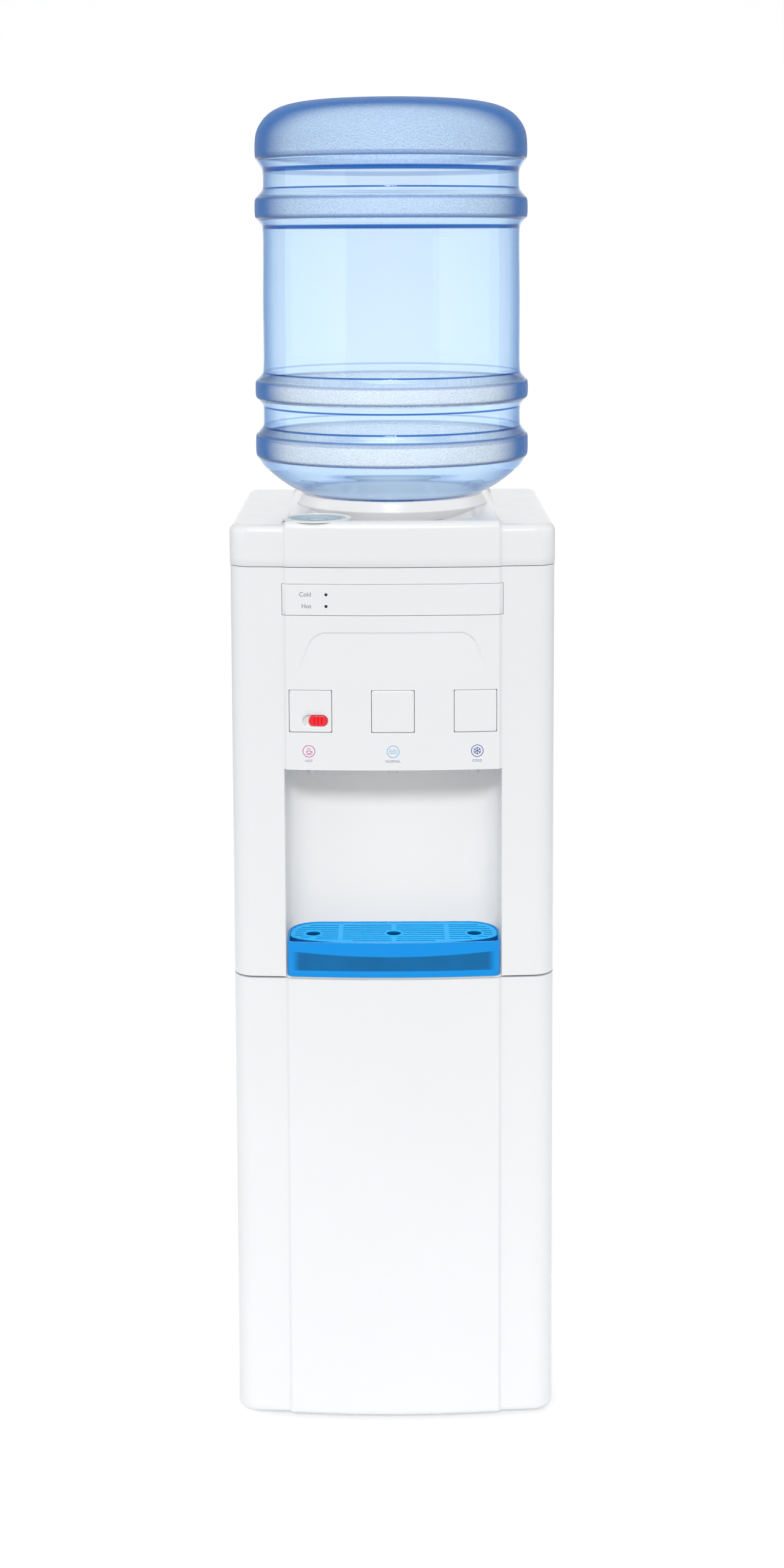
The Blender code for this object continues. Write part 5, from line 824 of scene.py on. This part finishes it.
# %% Bottle surface
def smooth_path(points, per_span=6):
    """A curve through every point: a cubic on each span, whose slope at a point is that of its neighbours."""
    p = np.asarray(points, float)
    chord = np.hypot(*np.diff(p, axis=0).T)
    t = np.concatenate([[0], np.cumsum(chord**0.5)])
    slope = np.gradient(p, t, axis=0)
    share = np.linspace(0, 1, per_span, endpoint=False)
    h00, h10 = (1 + 2 * share) * (1 - share) ** 2, share * (1 - share) ** 2
    h01, h11 = share**2 * (3 - 2 * share), share**2 * (share - 1)
    span = np.diff(t)[:, None, None]
    curve = (
        h00[:, None] * p[:-1, None] + h10[:, None] * span * slope[:-1, None]
        + h01[:, None] * p[1:, None] + h11[:, None] * span * slope[1:, None]
    )
    return np.concatenate([curve.reshape(-1, 2), p[-1:]])


def revolved(name, profile, x=0.0, y=0.0, around=96, closed=False):
    """Every (radius, height) of the profile turned through a full circle round an upright axis."""
    profile = np.asarray(profile, float)
    angle = np.linspace(0, 2 * pi, around, endpoint=False)
    points = np.empty((len(profile), around, 3))
    points[..., 0] = x + profile[:, :1] * np.cos(angle)
    points[..., 1] = y + profile[:, :1] * np.sin(angle)
    points[..., 2] = profile[:, 1:]
    return tidied(grid_mesh(name, points, wrap_rows=closed, wrap_columns=True))


SIDE_TALL = 0.405
BOTTLE_SIDE = np.array([  # radius and height over the seat, for a bottle that stands SIDE_TALL over it
    (0.0275, -0.0740), (0.0275, -0.0331), (0.0310, -0.0285), (0.0400, -0.0225), (0.0600, -0.0125),
    (0.0896, 0.0000), (0.1050, 0.0062), (0.1198, 0.0158), (0.1306, 0.0247), (0.1360, 0.0300),
    (0.1395, 0.0352), (0.1424, 0.0400), (0.1430, 0.0420), (0.1430, 0.0600), (0.1424, 0.0618),
    (0.1362, 0.0700), (0.1356, 0.0725), (0.1356, 0.0900), (0.1362, 0.0925), (0.1424, 0.1005),
    (0.1430, 0.1025), (0.1430, 0.1155), (0.1424, 0.1172), (0.1362, 0.1250), (0.1355, 0.1275),
    (0.1351, 0.2000), (0.1347, 0.2740), (0.1353, 0.2765), (0.1415, 0.2850), (0.1422, 0.2875),
    (0.1422, 0.3020), (0.1415, 0.3045), (0.1347, 0.3135), (0.1340, 0.3160), (0.1340, 0.3320),
    (0.1347, 0.3345), (0.1410, 0.3450), (0.1417, 0.3480), (0.1417, 0.3620), (0.1402, 0.3720),
    (0.1359, 0.3811), (0.1277, 0.3904), (0.1154, 0.3973), (0.0951, 0.4022), (0.0600, 0.4046),
    (0.0000, SIDE_TALL),
])
RISE = np.where(BOTTLE_SIDE[:, 1] > 0, BOTTLE_SIDE[:, 1] * BOTTLE_TALL / SIDE_TALL, BOTTLE_SIDE[:, 1])
BOTTLE_PROFILE = np.column_stack([BOTTLE_SIDE[:, 0], SEAT + RISE])


bottle_skin = dressed(
    revolved("bottle_skin", smooth_path(BOTTLE_PROFILE), y=BOTTLE_Y, around=128),
    "bottle_skin", "bottle", bottle_blue, "bottle", wall=0.0016, smooth=60,
)
bottle_skin.visible_diffuse = bottle_skin.visible_shadow = False  # a clear bottle keeps no light off the deck
MOUTH, NECK_END = SEAT - 0.0830, SEAT - 0.0740
lip = [
    (0.0276, MOUTH), (0.0287, MOUTH), (0.0287, MOUTH + 0.0024), (0.0276, MOUTH + 0.0036),
    (0.0276, NECK_END), (0.0259, NECK_END), (0.0259, MOUTH),
]
bottle_lip = dressed(
    revolved("bottle_lip", lip, y=BOTTLE_Y, around=64, closed=True), "bottle_lip", "bottle", bottle_blue
)
print("bottle cells:", len(bottle_skin.data.polygons))


# %% [markdown]
# ## The top cover
#
# The cover is one moulding: walls that continue the front's section, a rounded edge, a raised middle as wide
# as the bow, and a shallow pan round the bottle collar. It is made as rings that shrink from the outline to
# the throat of the collar. Every point's height comes from one function of its place on the deck: smooth
# steps of distances to the sides of the raised middle, to the wall of the pan and to the round well.

# %% Heights of the deck
PROUD = 0.00065  # the cover stands this much proud of the fascia
BACK = high("back_panel")[1]
COVER_FOOT = low("top_cover")[2]
PLATEAU = high("top_cover")[2] - 0.0004
SHOULDER = PLATEAU - 0.0044
PAN_DEPTH = 0.0094
PAN_HALF, PAN_ROUND = 0.087, 0.040  # half its width, and the radius of its front corners
PAN_FRONT = FRONT + 0.012
PAN_RING = 0.1050  # its radius round the bottle
WELL = ((low("deck_cap") + high("deck_cap")) / 2)[:2]
WELL_RADIUS = (high("deck_cap")[0] - low("deck_cap")[0]) / 2 + 0.0005
THROAT = 0.087


def smooth_step(value, start, end):
    """0 before start, 1 past end, and the cubic 3t^2 - 2t^3 between them."""
    t = np.clip((value - start) / (end - start), 0, 1)
    return t * t * (3 - 2 * t)


def deck_height(x, y):
    """Height of the deck: shoulders, plus the raised middle, minus the pan, except round the well.

    The pan is the union of a rectangle with round corners and a circle round the bottle; its depth grows
    with the distance inside that outline, and runs out towards the sides and the back of the bottle.
    """
    middle = smooth_step(BOW_HALF + STEP - np.abs(x), 0, 0.0042)
    to_side, to_front = PAN_HALF - np.abs(x), y - PAN_FRONT
    a, b = PAN_ROUND - to_side, PAN_ROUND - to_front
    corner = PAN_ROUND - np.hypot(np.maximum(a, 0), np.maximum(b, 0))
    box = np.where((a > 0) & (b > 0), corner, np.minimum(to_side, to_front))
    box = np.where(y < BOTTLE_Y, box, -1)
    from_bottle = np.hypot(x, y - BOTTLE_Y)
    ring = PAN_RING - from_bottle
    toward_front = (BOTTLE_Y - y) / np.maximum(from_bottle, 1e-6)
    pan = smooth_step(np.maximum(box, ring), 0, 0.0062) * smooth_step(toward_front, 0.42, 0.86)
    well = smooth_step(WELL_RADIUS + 0.0085 - np.hypot(x - WELL[0], y - WELL[1]), 0, 0.0050)
    return SHOULDER + (PLATEAU - SHOULDER) * middle - PAN_DEPTH * pan * (1 - well)


print("pan floor at", round(float(deck_height(0.03, BOTTLE_Y)), 4))


# %% Cover surface
def cover_outline(inset, pitch=0.0022, round_back=0.018):
    """The cover in plan: the front's section, the flanks, and the back with its two round corners."""
    draw_in = inset - PROUD
    front = section(stations(pitch=pitch), 0.0, draw_in, 16)[1:-1]
    side = HALF_WIDTH - draw_in
    flank_y = np.linspace(front[-1, 1], BACK - round_back, 90)[1:]
    right = np.column_stack([np.full(len(flank_y), side), flank_y])
    angle = np.linspace(0, pi / 2, 17)[1:]
    radius = round_back - inset
    centre = HALF_WIDTH + PROUD - round_back
    corner = np.column_stack([centre + radius * np.cos(angle), BACK - round_back + radius * np.sin(angle)])
    back_x = np.linspace(centre, 0, 60)[1:]
    back = np.column_stack([back_x, np.full(len(back_x), BACK - inset)])
    half = np.concatenate([right, corner, back])
    return np.concatenate([front, half, half[-2::-1] * [-1, 1]])


def cover(edge=0.008):
    """Rings from under the foot, up the wall, over the rounded edge and in to the collar's throat."""
    outer, turned_in = cover_outline(0.0), cover_outline(edge)
    top = deck_height(turned_in[:, 0], turned_in[:, 1])
    foot = ((0.0025, 0.006), (0.0025, 0.0), (0.0006, 0.0), (0.0, 0.0006))  # inset, and height over the foot
    rows = [at_level(cover_outline(inset), COVER_FOOT + height) for inset, height in foot]
    rows += [at_level(outer, COVER_FOOT + (top - edge - COVER_FOOT) * lift) for lift in (0.25, 0.5, 0.75)]
    for angle in np.linspace(0, pi / 2, 9):
        rows.append(at_level(cover_outline(edge * (1 - cos(angle))), top - edge * (1 - sin(angle))))
    around = np.arctan2(turned_in[:, 1] - BOTTLE_Y, turned_in[:, 0])
    throat = np.column_stack([THROAT * np.cos(around), BOTTLE_Y + THROAT * np.sin(around)])
    share = np.linspace(0, 1, 76)[1:, None, None]
    plans = turned_in + (throat - turned_in) * share
    heights = deck_height(plans[..., 0], plans[..., 1])
    points = np.concatenate([np.stack(rows), np.concatenate([plans, heights[..., None]], axis=-1)])
    middle = (points[1:] + points[:-1]) / 2
    middle = (middle + np.roll(middle, -1, axis=1)) / 2
    keep = np.hypot(middle[..., 0] - WELL[0], middle[..., 1] - WELL[1]) > WELL_RADIUS + 0.0022
    return tidied(grid_mesh("cover_skin", points, keep, wrap_columns=True))


cover_skin = dressed(cover(), "cover_skin", "cabinet", white_abs, "top_cover", smooth=75)
print("cover cells:", len(cover_skin.data.polygons))
well_side = [
    (WELL_RADIUS + 0.0062, PLATEAU - 0.0012), (WELL_RADIUS + 0.0060, PLATEAU - 0.0001),
    (WELL_RADIUS + 0.0040, PLATEAU + 0.0004), (WELL_RADIUS + 0.0012, PLATEAU + 0.0004),
    (WELL_RADIUS + 0.0003, PLATEAU + 0.0001), (WELL_RADIUS, PLATEAU - 0.0006),
    (WELL_RADIUS, PLATEAU - 0.0068), (WELL_RADIUS - 0.0005, PLATEAU - 0.0073), (0.0, PLATEAU - 0.0073),
]
well_ring = dressed(
    revolved("well_ring", well_side, *WELL, around=80), "well_ring", "cabinet", white_abs, smooth=50
)


# %% [markdown]
# ## Bottle collar and deck cap
#
# The collar is a ring that flares out from its foot and leans back in to its rim. Inside it a funnel leads
# down to the well with the probe, so a profile turned round the bottle's axis gives all of it. The cap in the
# deck, the recess, the tray and the grille already have their full shape as solids. For these it is enough
# to join the triangles of a copy and to round its edges, which catch the light as moulded edges do.

# %% Collar, deck cap, recess, tray and grille
COLLAR_RIM = high("bottle_collar")[2]
COLLAR_FOOT = PLATEAU - PAN_DEPTH + 0.0003
FUNNEL_FLOOR = low("water_probe")[2] - 0.0003
collar_side = [
    (0.0940, COLLAR_FOOT), (0.0968, COLLAR_FOOT + 0.0040), (0.0996, COLLAR_FOOT + 0.0082),
    (0.1004, COLLAR_FOOT + 0.0096), (0.1004, COLLAR_FOOT + 0.0102), (0.0998, COLLAR_FOOT + 0.0112),
    (0.0975, COLLAR_RIM - 0.0030), (0.0966, COLLAR_RIM - 0.0010), (0.0960, COLLAR_RIM - 0.0002),
    (0.0954, COLLAR_RIM), (0.0922, COLLAR_RIM), (0.0915, COLLAR_RIM - 0.0004),
    (0.0888, COLLAR_RIM - 0.0048), (0.0850, COLLAR_RIM - 0.0070), (0.0360, COLLAR_RIM - 0.0448),
    (0.0340, COLLAR_RIM - 0.0475), (0.0340, FUNNEL_FLOOR + 0.0020), (0.0320, FUNNEL_FLOOR),
    (0.0100, FUNNEL_FLOOR), (0.0100, FUNNEL_FLOOR - 0.0230), (0.0125, FUNNEL_FLOOR - 0.0230),
    (0.0125, FUNNEL_FLOOR - 0.0025), (0.0365, FUNNEL_FLOOR - 0.0025), (0.0365, COLLAR_RIM - 0.0485),
    (0.0839, COLLAR_FOOT - 0.0025), (0.0864, COLLAR_FOOT - 0.0012), (0.0864, COLLAR_FOOT),
]
collar_skin = dressed(
    revolved("collar_skin", collar_side, y=BOTTLE_Y, around=128, closed=True),
    "collar_skin", "cabinet", collar_shaded_white, "bottle_collar", smooth=38,
)
smoothed("deck_cap", cap_blue, "deck_cap", "deck_cap_skin", edge=0.00035)
smoothed("recess_liner", liner_white, "cabinet", "recess_liner_skin", edge=0.0008)
tray_skin = smoothed("drip_tray", tray_blue, "drip_tray", "drip_tray_skin", edge=0.0007)
grille_skin = smoothed("drip_grille", grille_blue, "drip_grille", "drip_grille_skin", edge=0.0003)
tray_skin.visible_diffuse = grille_skin.visible_diffuse = False
print("collar cells:", len(collar_skin.data.polygons))


# %% [markdown]
# ## Buttons, slider and label plate
#
# A button is a thin pad that follows the bow. It is made as rings: one outline, a rounded rectangle, is
# repeated at the back, at the front and round the edge, and then shrinks to the middle. The hot button has a
# sunk track with round ends for the child lock, so its rings run from the square outline to the track's
# outline instead, both sampled at the same angles round the track's middle. The slider in that track is a
# pill made from the same rings, and the label plate is a grid whose edges turn back.

# %% Outlines
AROUND = 160  # points of an outline


def rounded_rectangle(centre, half, radius, inset):
    """An outline with evenly spaced points, drawn in by an inset.

    In every direction from the middle, the straight sides are met first, or the circle at the corner where
    that is nearer. These points lie dense, and are then spaced evenly by length.
    """
    angle = np.linspace(0, 2 * pi, 4001)
    way = np.column_stack([np.cos(angle), np.sin(angle)])
    hx, hz = half[0] - inset, half[1] - inset
    r = max(radius - inset, 1e-4)
    reach = np.minimum(hx / np.maximum(np.abs(way[:, 0]), 1e-9), hz / np.maximum(np.abs(way[:, 1]), 1e-9))
    corner = np.array([hx - r, hz - r])
    along = np.abs(way) @ corner
    under = np.maximum(along**2 - corner @ corner + r * r, 0)
    on_corner = along + np.sqrt(under)
    spot = np.abs(way) * reach[:, None]
    reach = np.where((spot > corner).all(axis=1), np.minimum(reach, on_corner), reach)
    dense = np.array(centre) + way * reach[:, None]
    length = np.concatenate([[0], np.cumsum(np.hypot(*np.diff(dense, axis=0).T))])
    even = np.linspace(0, length[-1], AROUND, endpoint=False)
    return np.column_stack([np.interp(even, length, dense[:, 0]), np.interp(even, length, dense[:, 1])])


def by_angle(outline, centre):
    """An outline sampled at even angles round a point inside it."""
    offset = outline - np.array(centre)
    angle = np.arctan2(offset[:, 1], offset[:, 0])
    order = np.argsort(angle)
    reach = np.hypot(*offset.T)[order]
    even = np.linspace(-pi, pi, AROUND, endpoint=False)
    found = np.interp(even, angle[order], reach, period=2 * pi)
    return np.array(centre) + found[:, None] * np.column_stack([np.cos(even), np.sin(even)])


print("an outline has", AROUND, "points")


# %% Pads
PAD_BACK, PAD_EDGE = 0.006, 0.0006  # depth of a pad's rear, and the radius of its front edge


def lifted(plan, depth):
    """Points over an outline in x and z, at a depth behind the bowed front."""
    return np.stack([plan[:, 0], front_y(plan[:, 0]) + depth, plan[:, 1]], axis=-1)


def pad_rings(outline, depth, back, edge, steps=4):
    """Rings of a pad: its back edge, its front edge and the quarter round between wall and face."""
    rows = [lifted(outline(0.0), back)]
    for angle in np.linspace(0, pi / 2, steps + 1):
        rows.append(lifted(outline(edge * (1 - cos(angle))), depth + edge * (1 - sin(angle))))
    return rows


def pad(name, centre, half, radius):
    """A pad whose face closes to its middle."""
    def outline(inset):
        return rounded_rectangle(centre, half, radius, inset)

    rows = pad_rings(outline, 0.0, PAD_BACK, PAD_EDGE)
    face = outline(PAD_EDGE)
    for share in np.linspace(1, 0, 6)[1:]:
        rows.append(lifted(np.array(centre) + (face - centre) * share, 0.0))
    return tidied(grid_mesh(name, np.stack(rows), wrap_columns=True))


def sunk_pad(name, centre, half, radius, track, track_half, sunk=0.0024, soft=0.0003):
    """A pad with a sunk track: its rings run from its outline to the track's, then down and to the middle."""
    def outline(inset):
        return rounded_rectangle(centre, half, radius, inset)

    def hole(inset):
        return by_angle(rounded_rectangle(track, track_half, track_half[1], inset), track)

    rim = pad_rings(outline, 0.0, PAD_BACK, PAD_EDGE)
    outer, inner = by_angle(outline(PAD_EDGE), track), hole(-soft)
    face = [lifted(outer + (inner - outer) * share, 0.0) for share in np.linspace(0, 1, 5)]
    walls = [(-soft, 0.0), (0.0, soft), (0.0, sunk - soft), (soft, sunk)]  # inset and depth
    face += [lifted(hole(inset), fall) for inset, fall in walls]
    face += [lifted(np.array(track) + (hole(soft) - track) * share, sunk) for share in (0.5, 0.0)]
    rim_mesh = grid_mesh(name, np.stack(rim), wrap_columns=True)
    face_mesh = grid_mesh(name + "_face", np.stack(face), wrap_columns=True)
    return tidied(joined(name, rim_mesh, face_mesh))


def joined(name, *meshes):
    """Several meshes as one."""
    bm = bmesh.new()
    for mesh in meshes:
        bm.from_mesh(mesh)
    whole = bpy.data.meshes.new(name)
    bm.to_mesh(whole)
    bm.free()
    return whole


# %% Three buttons
BUTTON_SIZE = (BUTTON_HALF, BUTTON_HALF)
BUTTON_ROUND = 0.0012
for button, x in (("normal_button", 0.0), ("cold_button", BUTTON_PITCH)):
    skin = pad(button + "_skin", (x, BUTTON_LEVEL), BUTTON_SIZE, BUTTON_ROUND)
    dressed(skin, button + "_skin", button, white_abs, button, smooth=50)
slider_box = low("child_lock_slider"), high("child_lock_slider")
slider_mid = (slider_box[0] + slider_box[1]) / 2
slider_half = (slider_box[1] - slider_box[0]) / 2
TRACK = (slider_mid[0] - 0.0027, slider_mid[2])
TRACK_HALF = (slider_half[0] + 0.0030, slider_half[2] + 0.0004)
hot_centre = (-BUTTON_PITCH, BUTTON_LEVEL)
hot_mesh = sunk_pad("hot_button_skin", hot_centre, BUTTON_SIZE, BUTTON_ROUND, TRACK, TRACK_HALF)
dressed(hot_mesh, "hot_button_skin", "hot_button", white_abs, "hot_button", smooth=50)
print("hot button cells:", len(hot_mesh.polygons))


# %% The slider
SLIDER_PROUD, SLIDER_BACK, SLIDER_EDGE = 0.0012, 0.0018, 0.0010
GROOVES, GROOVE_WIDTH, GROOVE_DEPTH = (-0.0036, 0.0, 0.0036), 0.00050, 0.0012


def slider():
    """A pill; three grooves cross it, each a bell-shaped dip in depth that fades to the sides."""
    centre = (slider_mid[0], slider_mid[2])
    half = (slider_half[0], slider_half[2])

    def outline(inset):
        return rounded_rectangle(centre, half, half[1], inset)

    rows = pad_rings(outline, -SLIDER_PROUD, SLIDER_BACK, SLIDER_EDGE)
    face = outline(SLIDER_EDGE)
    for share in np.linspace(1, 0, 24)[1:]:
        plan = np.array(centre) + (face - centre) * share
        across, up = plan[:, 0] - centre[0], plan[:, 1] - centre[1]
        dips = sum(np.exp(-(((across - at) / GROOVE_WIDTH) ** 2)) for at in GROOVES)
        dips = dips * smooth_step(half[1] - 0.0012 - np.abs(up), 0, 0.0006)
        rows.append(lifted(plan, GROOVE_DEPTH * dips - SLIDER_PROUD))
    return tidied(grid_mesh("slider_skin", np.stack(rows), wrap_columns=True))


slider_mesh = slider()
dressed(slider_mesh, "slider_skin", "child_lock", slider_red, "child_lock_slider", smooth=60)
print("slider cells:", len(slider_mesh.polygons))


# %% The label plate and its two lamps
def plate(inset=0.0003, back=0.0015):
    """A plate that follows the bow: a grid across and up, whose edges turn back to a depth."""
    x = np.append(stations(pitch=0.003), [-PLATE_HALF, PLATE_HALF])
    x = np.unique(np.clip(x, -PLATE_HALF, PLATE_HALF))
    columns = np.concatenate([[x[0], x[0], x[0] + inset], x[1:-1], [x[-1] - inset, x[-1], x[-1]]])
    z = np.linspace(PLATE_LOW + inset, PLATE_HIGH - inset, 5)
    z = np.concatenate([[PLATE_LOW, PLATE_LOW], z, [PLATE_HIGH, PLATE_HIGH]])
    fall_x, fall_z = np.zeros(len(columns)), np.zeros(len(z))
    for fall in (fall_x, fall_z):
        fall[[0, -1]], fall[[1, -2]] = back, inset
    points = np.empty((len(z), len(columns), 3))
    points[..., 0] = columns
    points[..., 1] = front_y(columns) + np.maximum(fall_x, fall_z[:, None])
    points[..., 2] = z[:, None]
    return tidied(grid_mesh("plate_skin", points))


dressed(plate(), "plate_skin", "cabinet", white_satin, "label_plate", smooth=40)
for lamp in ("cold_lamp", "hot_lamp"):
    smoothed(lamp, lamp_dark, "cabinet", lamp + "_skin", edge=0.0004)
print("plate", round(2 * PLATE_HALF, 4), "wide and", round(PLATE_HIGH - PLATE_LOW, 4), "high")


# %% [markdown]
# ## Printed marks
#
# Pad printing lays a film of ink on the plastic. Each mark is made of strokes: a path in the plane of the
# front, widened to both sides, and laid on the bow with a film's thickness. The marks are plain signs of what
# a tap gives, drawn for this lesson: a cup with steam, waves, and a six-armed crystal, each in a ring. Words
# come from Blender's own font, turned into a mesh and laid on the bow the same way.

# %% Strokes and words
def stroke(path, width):
    """Each point of the path moved half the width to both sides, across the path's direction."""
    path = np.asarray(path, float)
    along = np.gradient(path, axis=0)
    along /= np.hypot(*along.T)[:, None]
    across = np.stack([along[:, 1], -along[:, 0]], axis=-1) * width / 2
    return np.stack([path - across, path + across], axis=1)


def arc(x, z, radius, start, end, steps=25):
    """Points on a circle between two angles in degrees."""
    angle = np.radians(np.linspace(start, end, steps))
    return np.column_stack([x + radius * np.cos(angle), z + radius * np.sin(angle)])


def wave(x, z, length, height, turns, upright=False, steps=33):
    """A sine along x, or along z if upright."""
    t = np.linspace(-0.5, 0.5, steps)
    swing = height * np.sin(2 * pi * turns * (t + 0.5))
    return np.column_stack([x + swing, z + t * length] if upright else [x + t * length, z + swing])


def word(text, size, x, z):
    """The word's outline filled with flat faces, centred on (x, z)."""
    curve = bpy.data.curves.new(text, "FONT")
    curve.body, curve.size, curve.resolution_u = text, size, 3
    curve.align_x, curve.align_y = "CENTER", "CENTER"
    thing = bpy.data.objects.new(text, curve)
    mesh = bpy.data.meshes.new_from_object(thing)
    bpy.data.objects.remove(thing)
    flat = np.empty(len(mesh.vertices) * 3)
    mesh.vertices.foreach_get("co", flat)
    flat = flat.reshape(-1, 3)[:, :2] + [x, z]
    mesh.vertices.foreach_set("co", on_front(flat).ravel())
    return mesh


def on_front(flat, film=0.00005):
    """Points of a drawing laid on the bowed front, a film's thickness before it."""
    return np.stack([flat[..., 0], front_y(flat[..., 0]) - film, flat[..., 1]], axis=-1)


def printed(name, strokes, words, material):
    """Strokes and words as one piece, a film thick."""
    parts = [grid_mesh(name, on_front(stroke(path, width))) for path, width in strokes]
    mesh = joined(name, *parts, *[word(*entry) for entry in words])
    piece = dressed(mesh, name, "cabinet", material, wall=0.0002)
    piece.modifiers["wall"].use_even_offset = False
    return piece


# %% Three signs and their words
SIGN_LEVEL, WORD_LEVEL = BUTTON_LEVEL - 0.0405, BUTTON_LEVEL - 0.0505
SIGN_X, LAMP_WORD_X = 0.0838, -0.0865
TAP_LETTERS, LAMP_LETTERS = 0.0036, 0.0062
RING, LINE = 0.0059, 0.0007
ink_hot = moulded("ink_hot", (0.50, 0.05, 0.24), 0.35)
ink_normal = moulded("ink_normal", (0.16, 0.40, 0.66), 0.35)
ink_cold = moulded("ink_cold", (0.01, 0.06, 0.28), 0.35)
ink_grey = moulded("ink_grey", (0.16, 0.13, 0.20), 0.35)


def ring(x):
    return arc(x, SIGN_LEVEL, RING, 0, 360, 49), LINE


def level_line(x, z, half):
    return [(x - half, z), (x, z), (x + half, z)]


def cup(x, z):
    """A round-bottomed cup with a handle on a saucer, and three wisps of steam."""
    bowl, rim = arc(x, z + 0.0002, 0.0025, 180, 360), level_line(x, z + 0.0002, 0.0027)
    thin = [arc(x + 0.0026, z - 0.0006, 0.0009, -100, 100, 13), level_line(x, z - 0.0030, 0.0032)]
    thin += [wave(x + at, z + 0.0023, 0.0026, 0.0003, 1, True) for at in (-0.0013, 0.0, 0.0013)]
    return [(bowl, 0.0006), (rim, 0.0005), *[(path, 0.0004) for path in thin]]


def crystal(x, z, arm=0.0040):
    """Six arms, each with two short barbs."""
    lines = []
    for turn in np.radians(np.arange(0, 360, 60) + 30):
        way = np.array([cos(turn), sin(turn)]) * arm
        side = np.array([-way[1], way[0]])
        lines.append([(x, z) + way * reach for reach in (0.0, 0.5, 1.0)])
        for hand in (-1, 1):
            barb = ((0.55, 0.0), (0.70, 0.18 * hand), (0.85, 0.36 * hand))
            lines.append([(x, z) + way * reach + side * aside for reach, aside in barb])
    return [(line, 0.0006) for line in lines]


hot_strokes = [ring(-SIGN_X), *cup(-SIGN_X, SIGN_LEVEL - 0.0002)]
ripples = [wave(0.0, SIGN_LEVEL + at, 0.0078, 0.0005, 2) for at in (-0.0018, 0.0, 0.0018)]
normal_strokes = [ring(0.0), *[(path, 0.0005) for path in ripples]]
cold_strokes = [ring(SIGN_X), *crystal(SIGN_X, SIGN_LEVEL)]
printed("print_hot", hot_strokes, [], ink_hot)
printed("print_normal", normal_strokes, [], ink_normal)
printed("print_cold", cold_strokes, [("COLD", TAP_LETTERS, SIGN_X, WORD_LEVEL)], ink_cold)
cold_level, hot_level = ((low(lamp)[2] + high(lamp)[2]) / 2 for lamp in ("cold_lamp", "hot_lamp"))
grey_words = [
    ("Cold", LAMP_LETTERS, LAMP_WORD_X, cold_level), ("Hot", LAMP_LETTERS, LAMP_WORD_X + 0.0012, hot_level),
    ("HOT", TAP_LETTERS, -SIGN_X, WORD_LEVEL), ("NORMAL", TAP_LETTERS, 0.0, WORD_LEVEL),
]
printed("print_words", [], grey_words, ink_grey)
print("marks: 3 signs, 5 words")


# %% [markdown]
# ## Screws
#
# Ten pan-head screws hold the back panel along its two sides. A head is a dome over a disc, computed on rings
# and spokes; a cross is cut into it by lowering every point that lies near either of the two slots. All the
# heads are copies of the same array, turned, moved and joined.

# %% Screw heads
def screw_head(radius=0.0032, rise=0.0018, slot=0.0005, reach=0.0021, cut=0.0010, rings=13, spokes=48):
    """Heights over a disc: a flattened dome, lowered along two crossed slots."""
    share = np.linspace(1, 0, rings)[:, None]
    angle = np.linspace(0, 2 * pi, spokes, endpoint=False)[None, :]
    u, v = radius * share * np.cos(angle), radius * share * np.sin(angle)
    dome = rise * np.sqrt(np.maximum(1 - (share * 0.98) ** 3.0, 0)) * np.ones_like(angle)
    in_slot = 1 - smooth_step(np.minimum(np.abs(u), np.abs(v)), slot * 0.8, slot * 1.3)
    cross = in_slot * (1 - smooth_step(np.hypot(u, v), reach * 0.85, reach))
    top = np.stack([u, v, dome - cut * cross], axis=-1)
    skirt = top[:1] * [1, 1, 0] - [0, 0, 0.0006]
    return np.concatenate([skirt, top])


BACKWARDS = np.array([(-1, 0, 0), (0, 0, 1), (0, 1, 0)], float)  # across, up and out of a head on the back
panel_low, panel_high = low("back_panel"), high("back_panel")
levels = np.linspace(panel_low[2] + 0.02, panel_high[2] - 0.02, 5)
spots = [(side * (panel_high[0] - 0.008), panel_high[1], z) for side in (-1, 1) for z in levels]
heads = [grid_mesh("screw", screw_head() @ BACKWARDS + spot, wrap_columns=True) for spot in spots]
back_screws = dressed(tidied(joined("back_screws", *heads)), "back_screws", "cabinet", zinc_sheet, smooth=40)
print("screws:", len(spots))
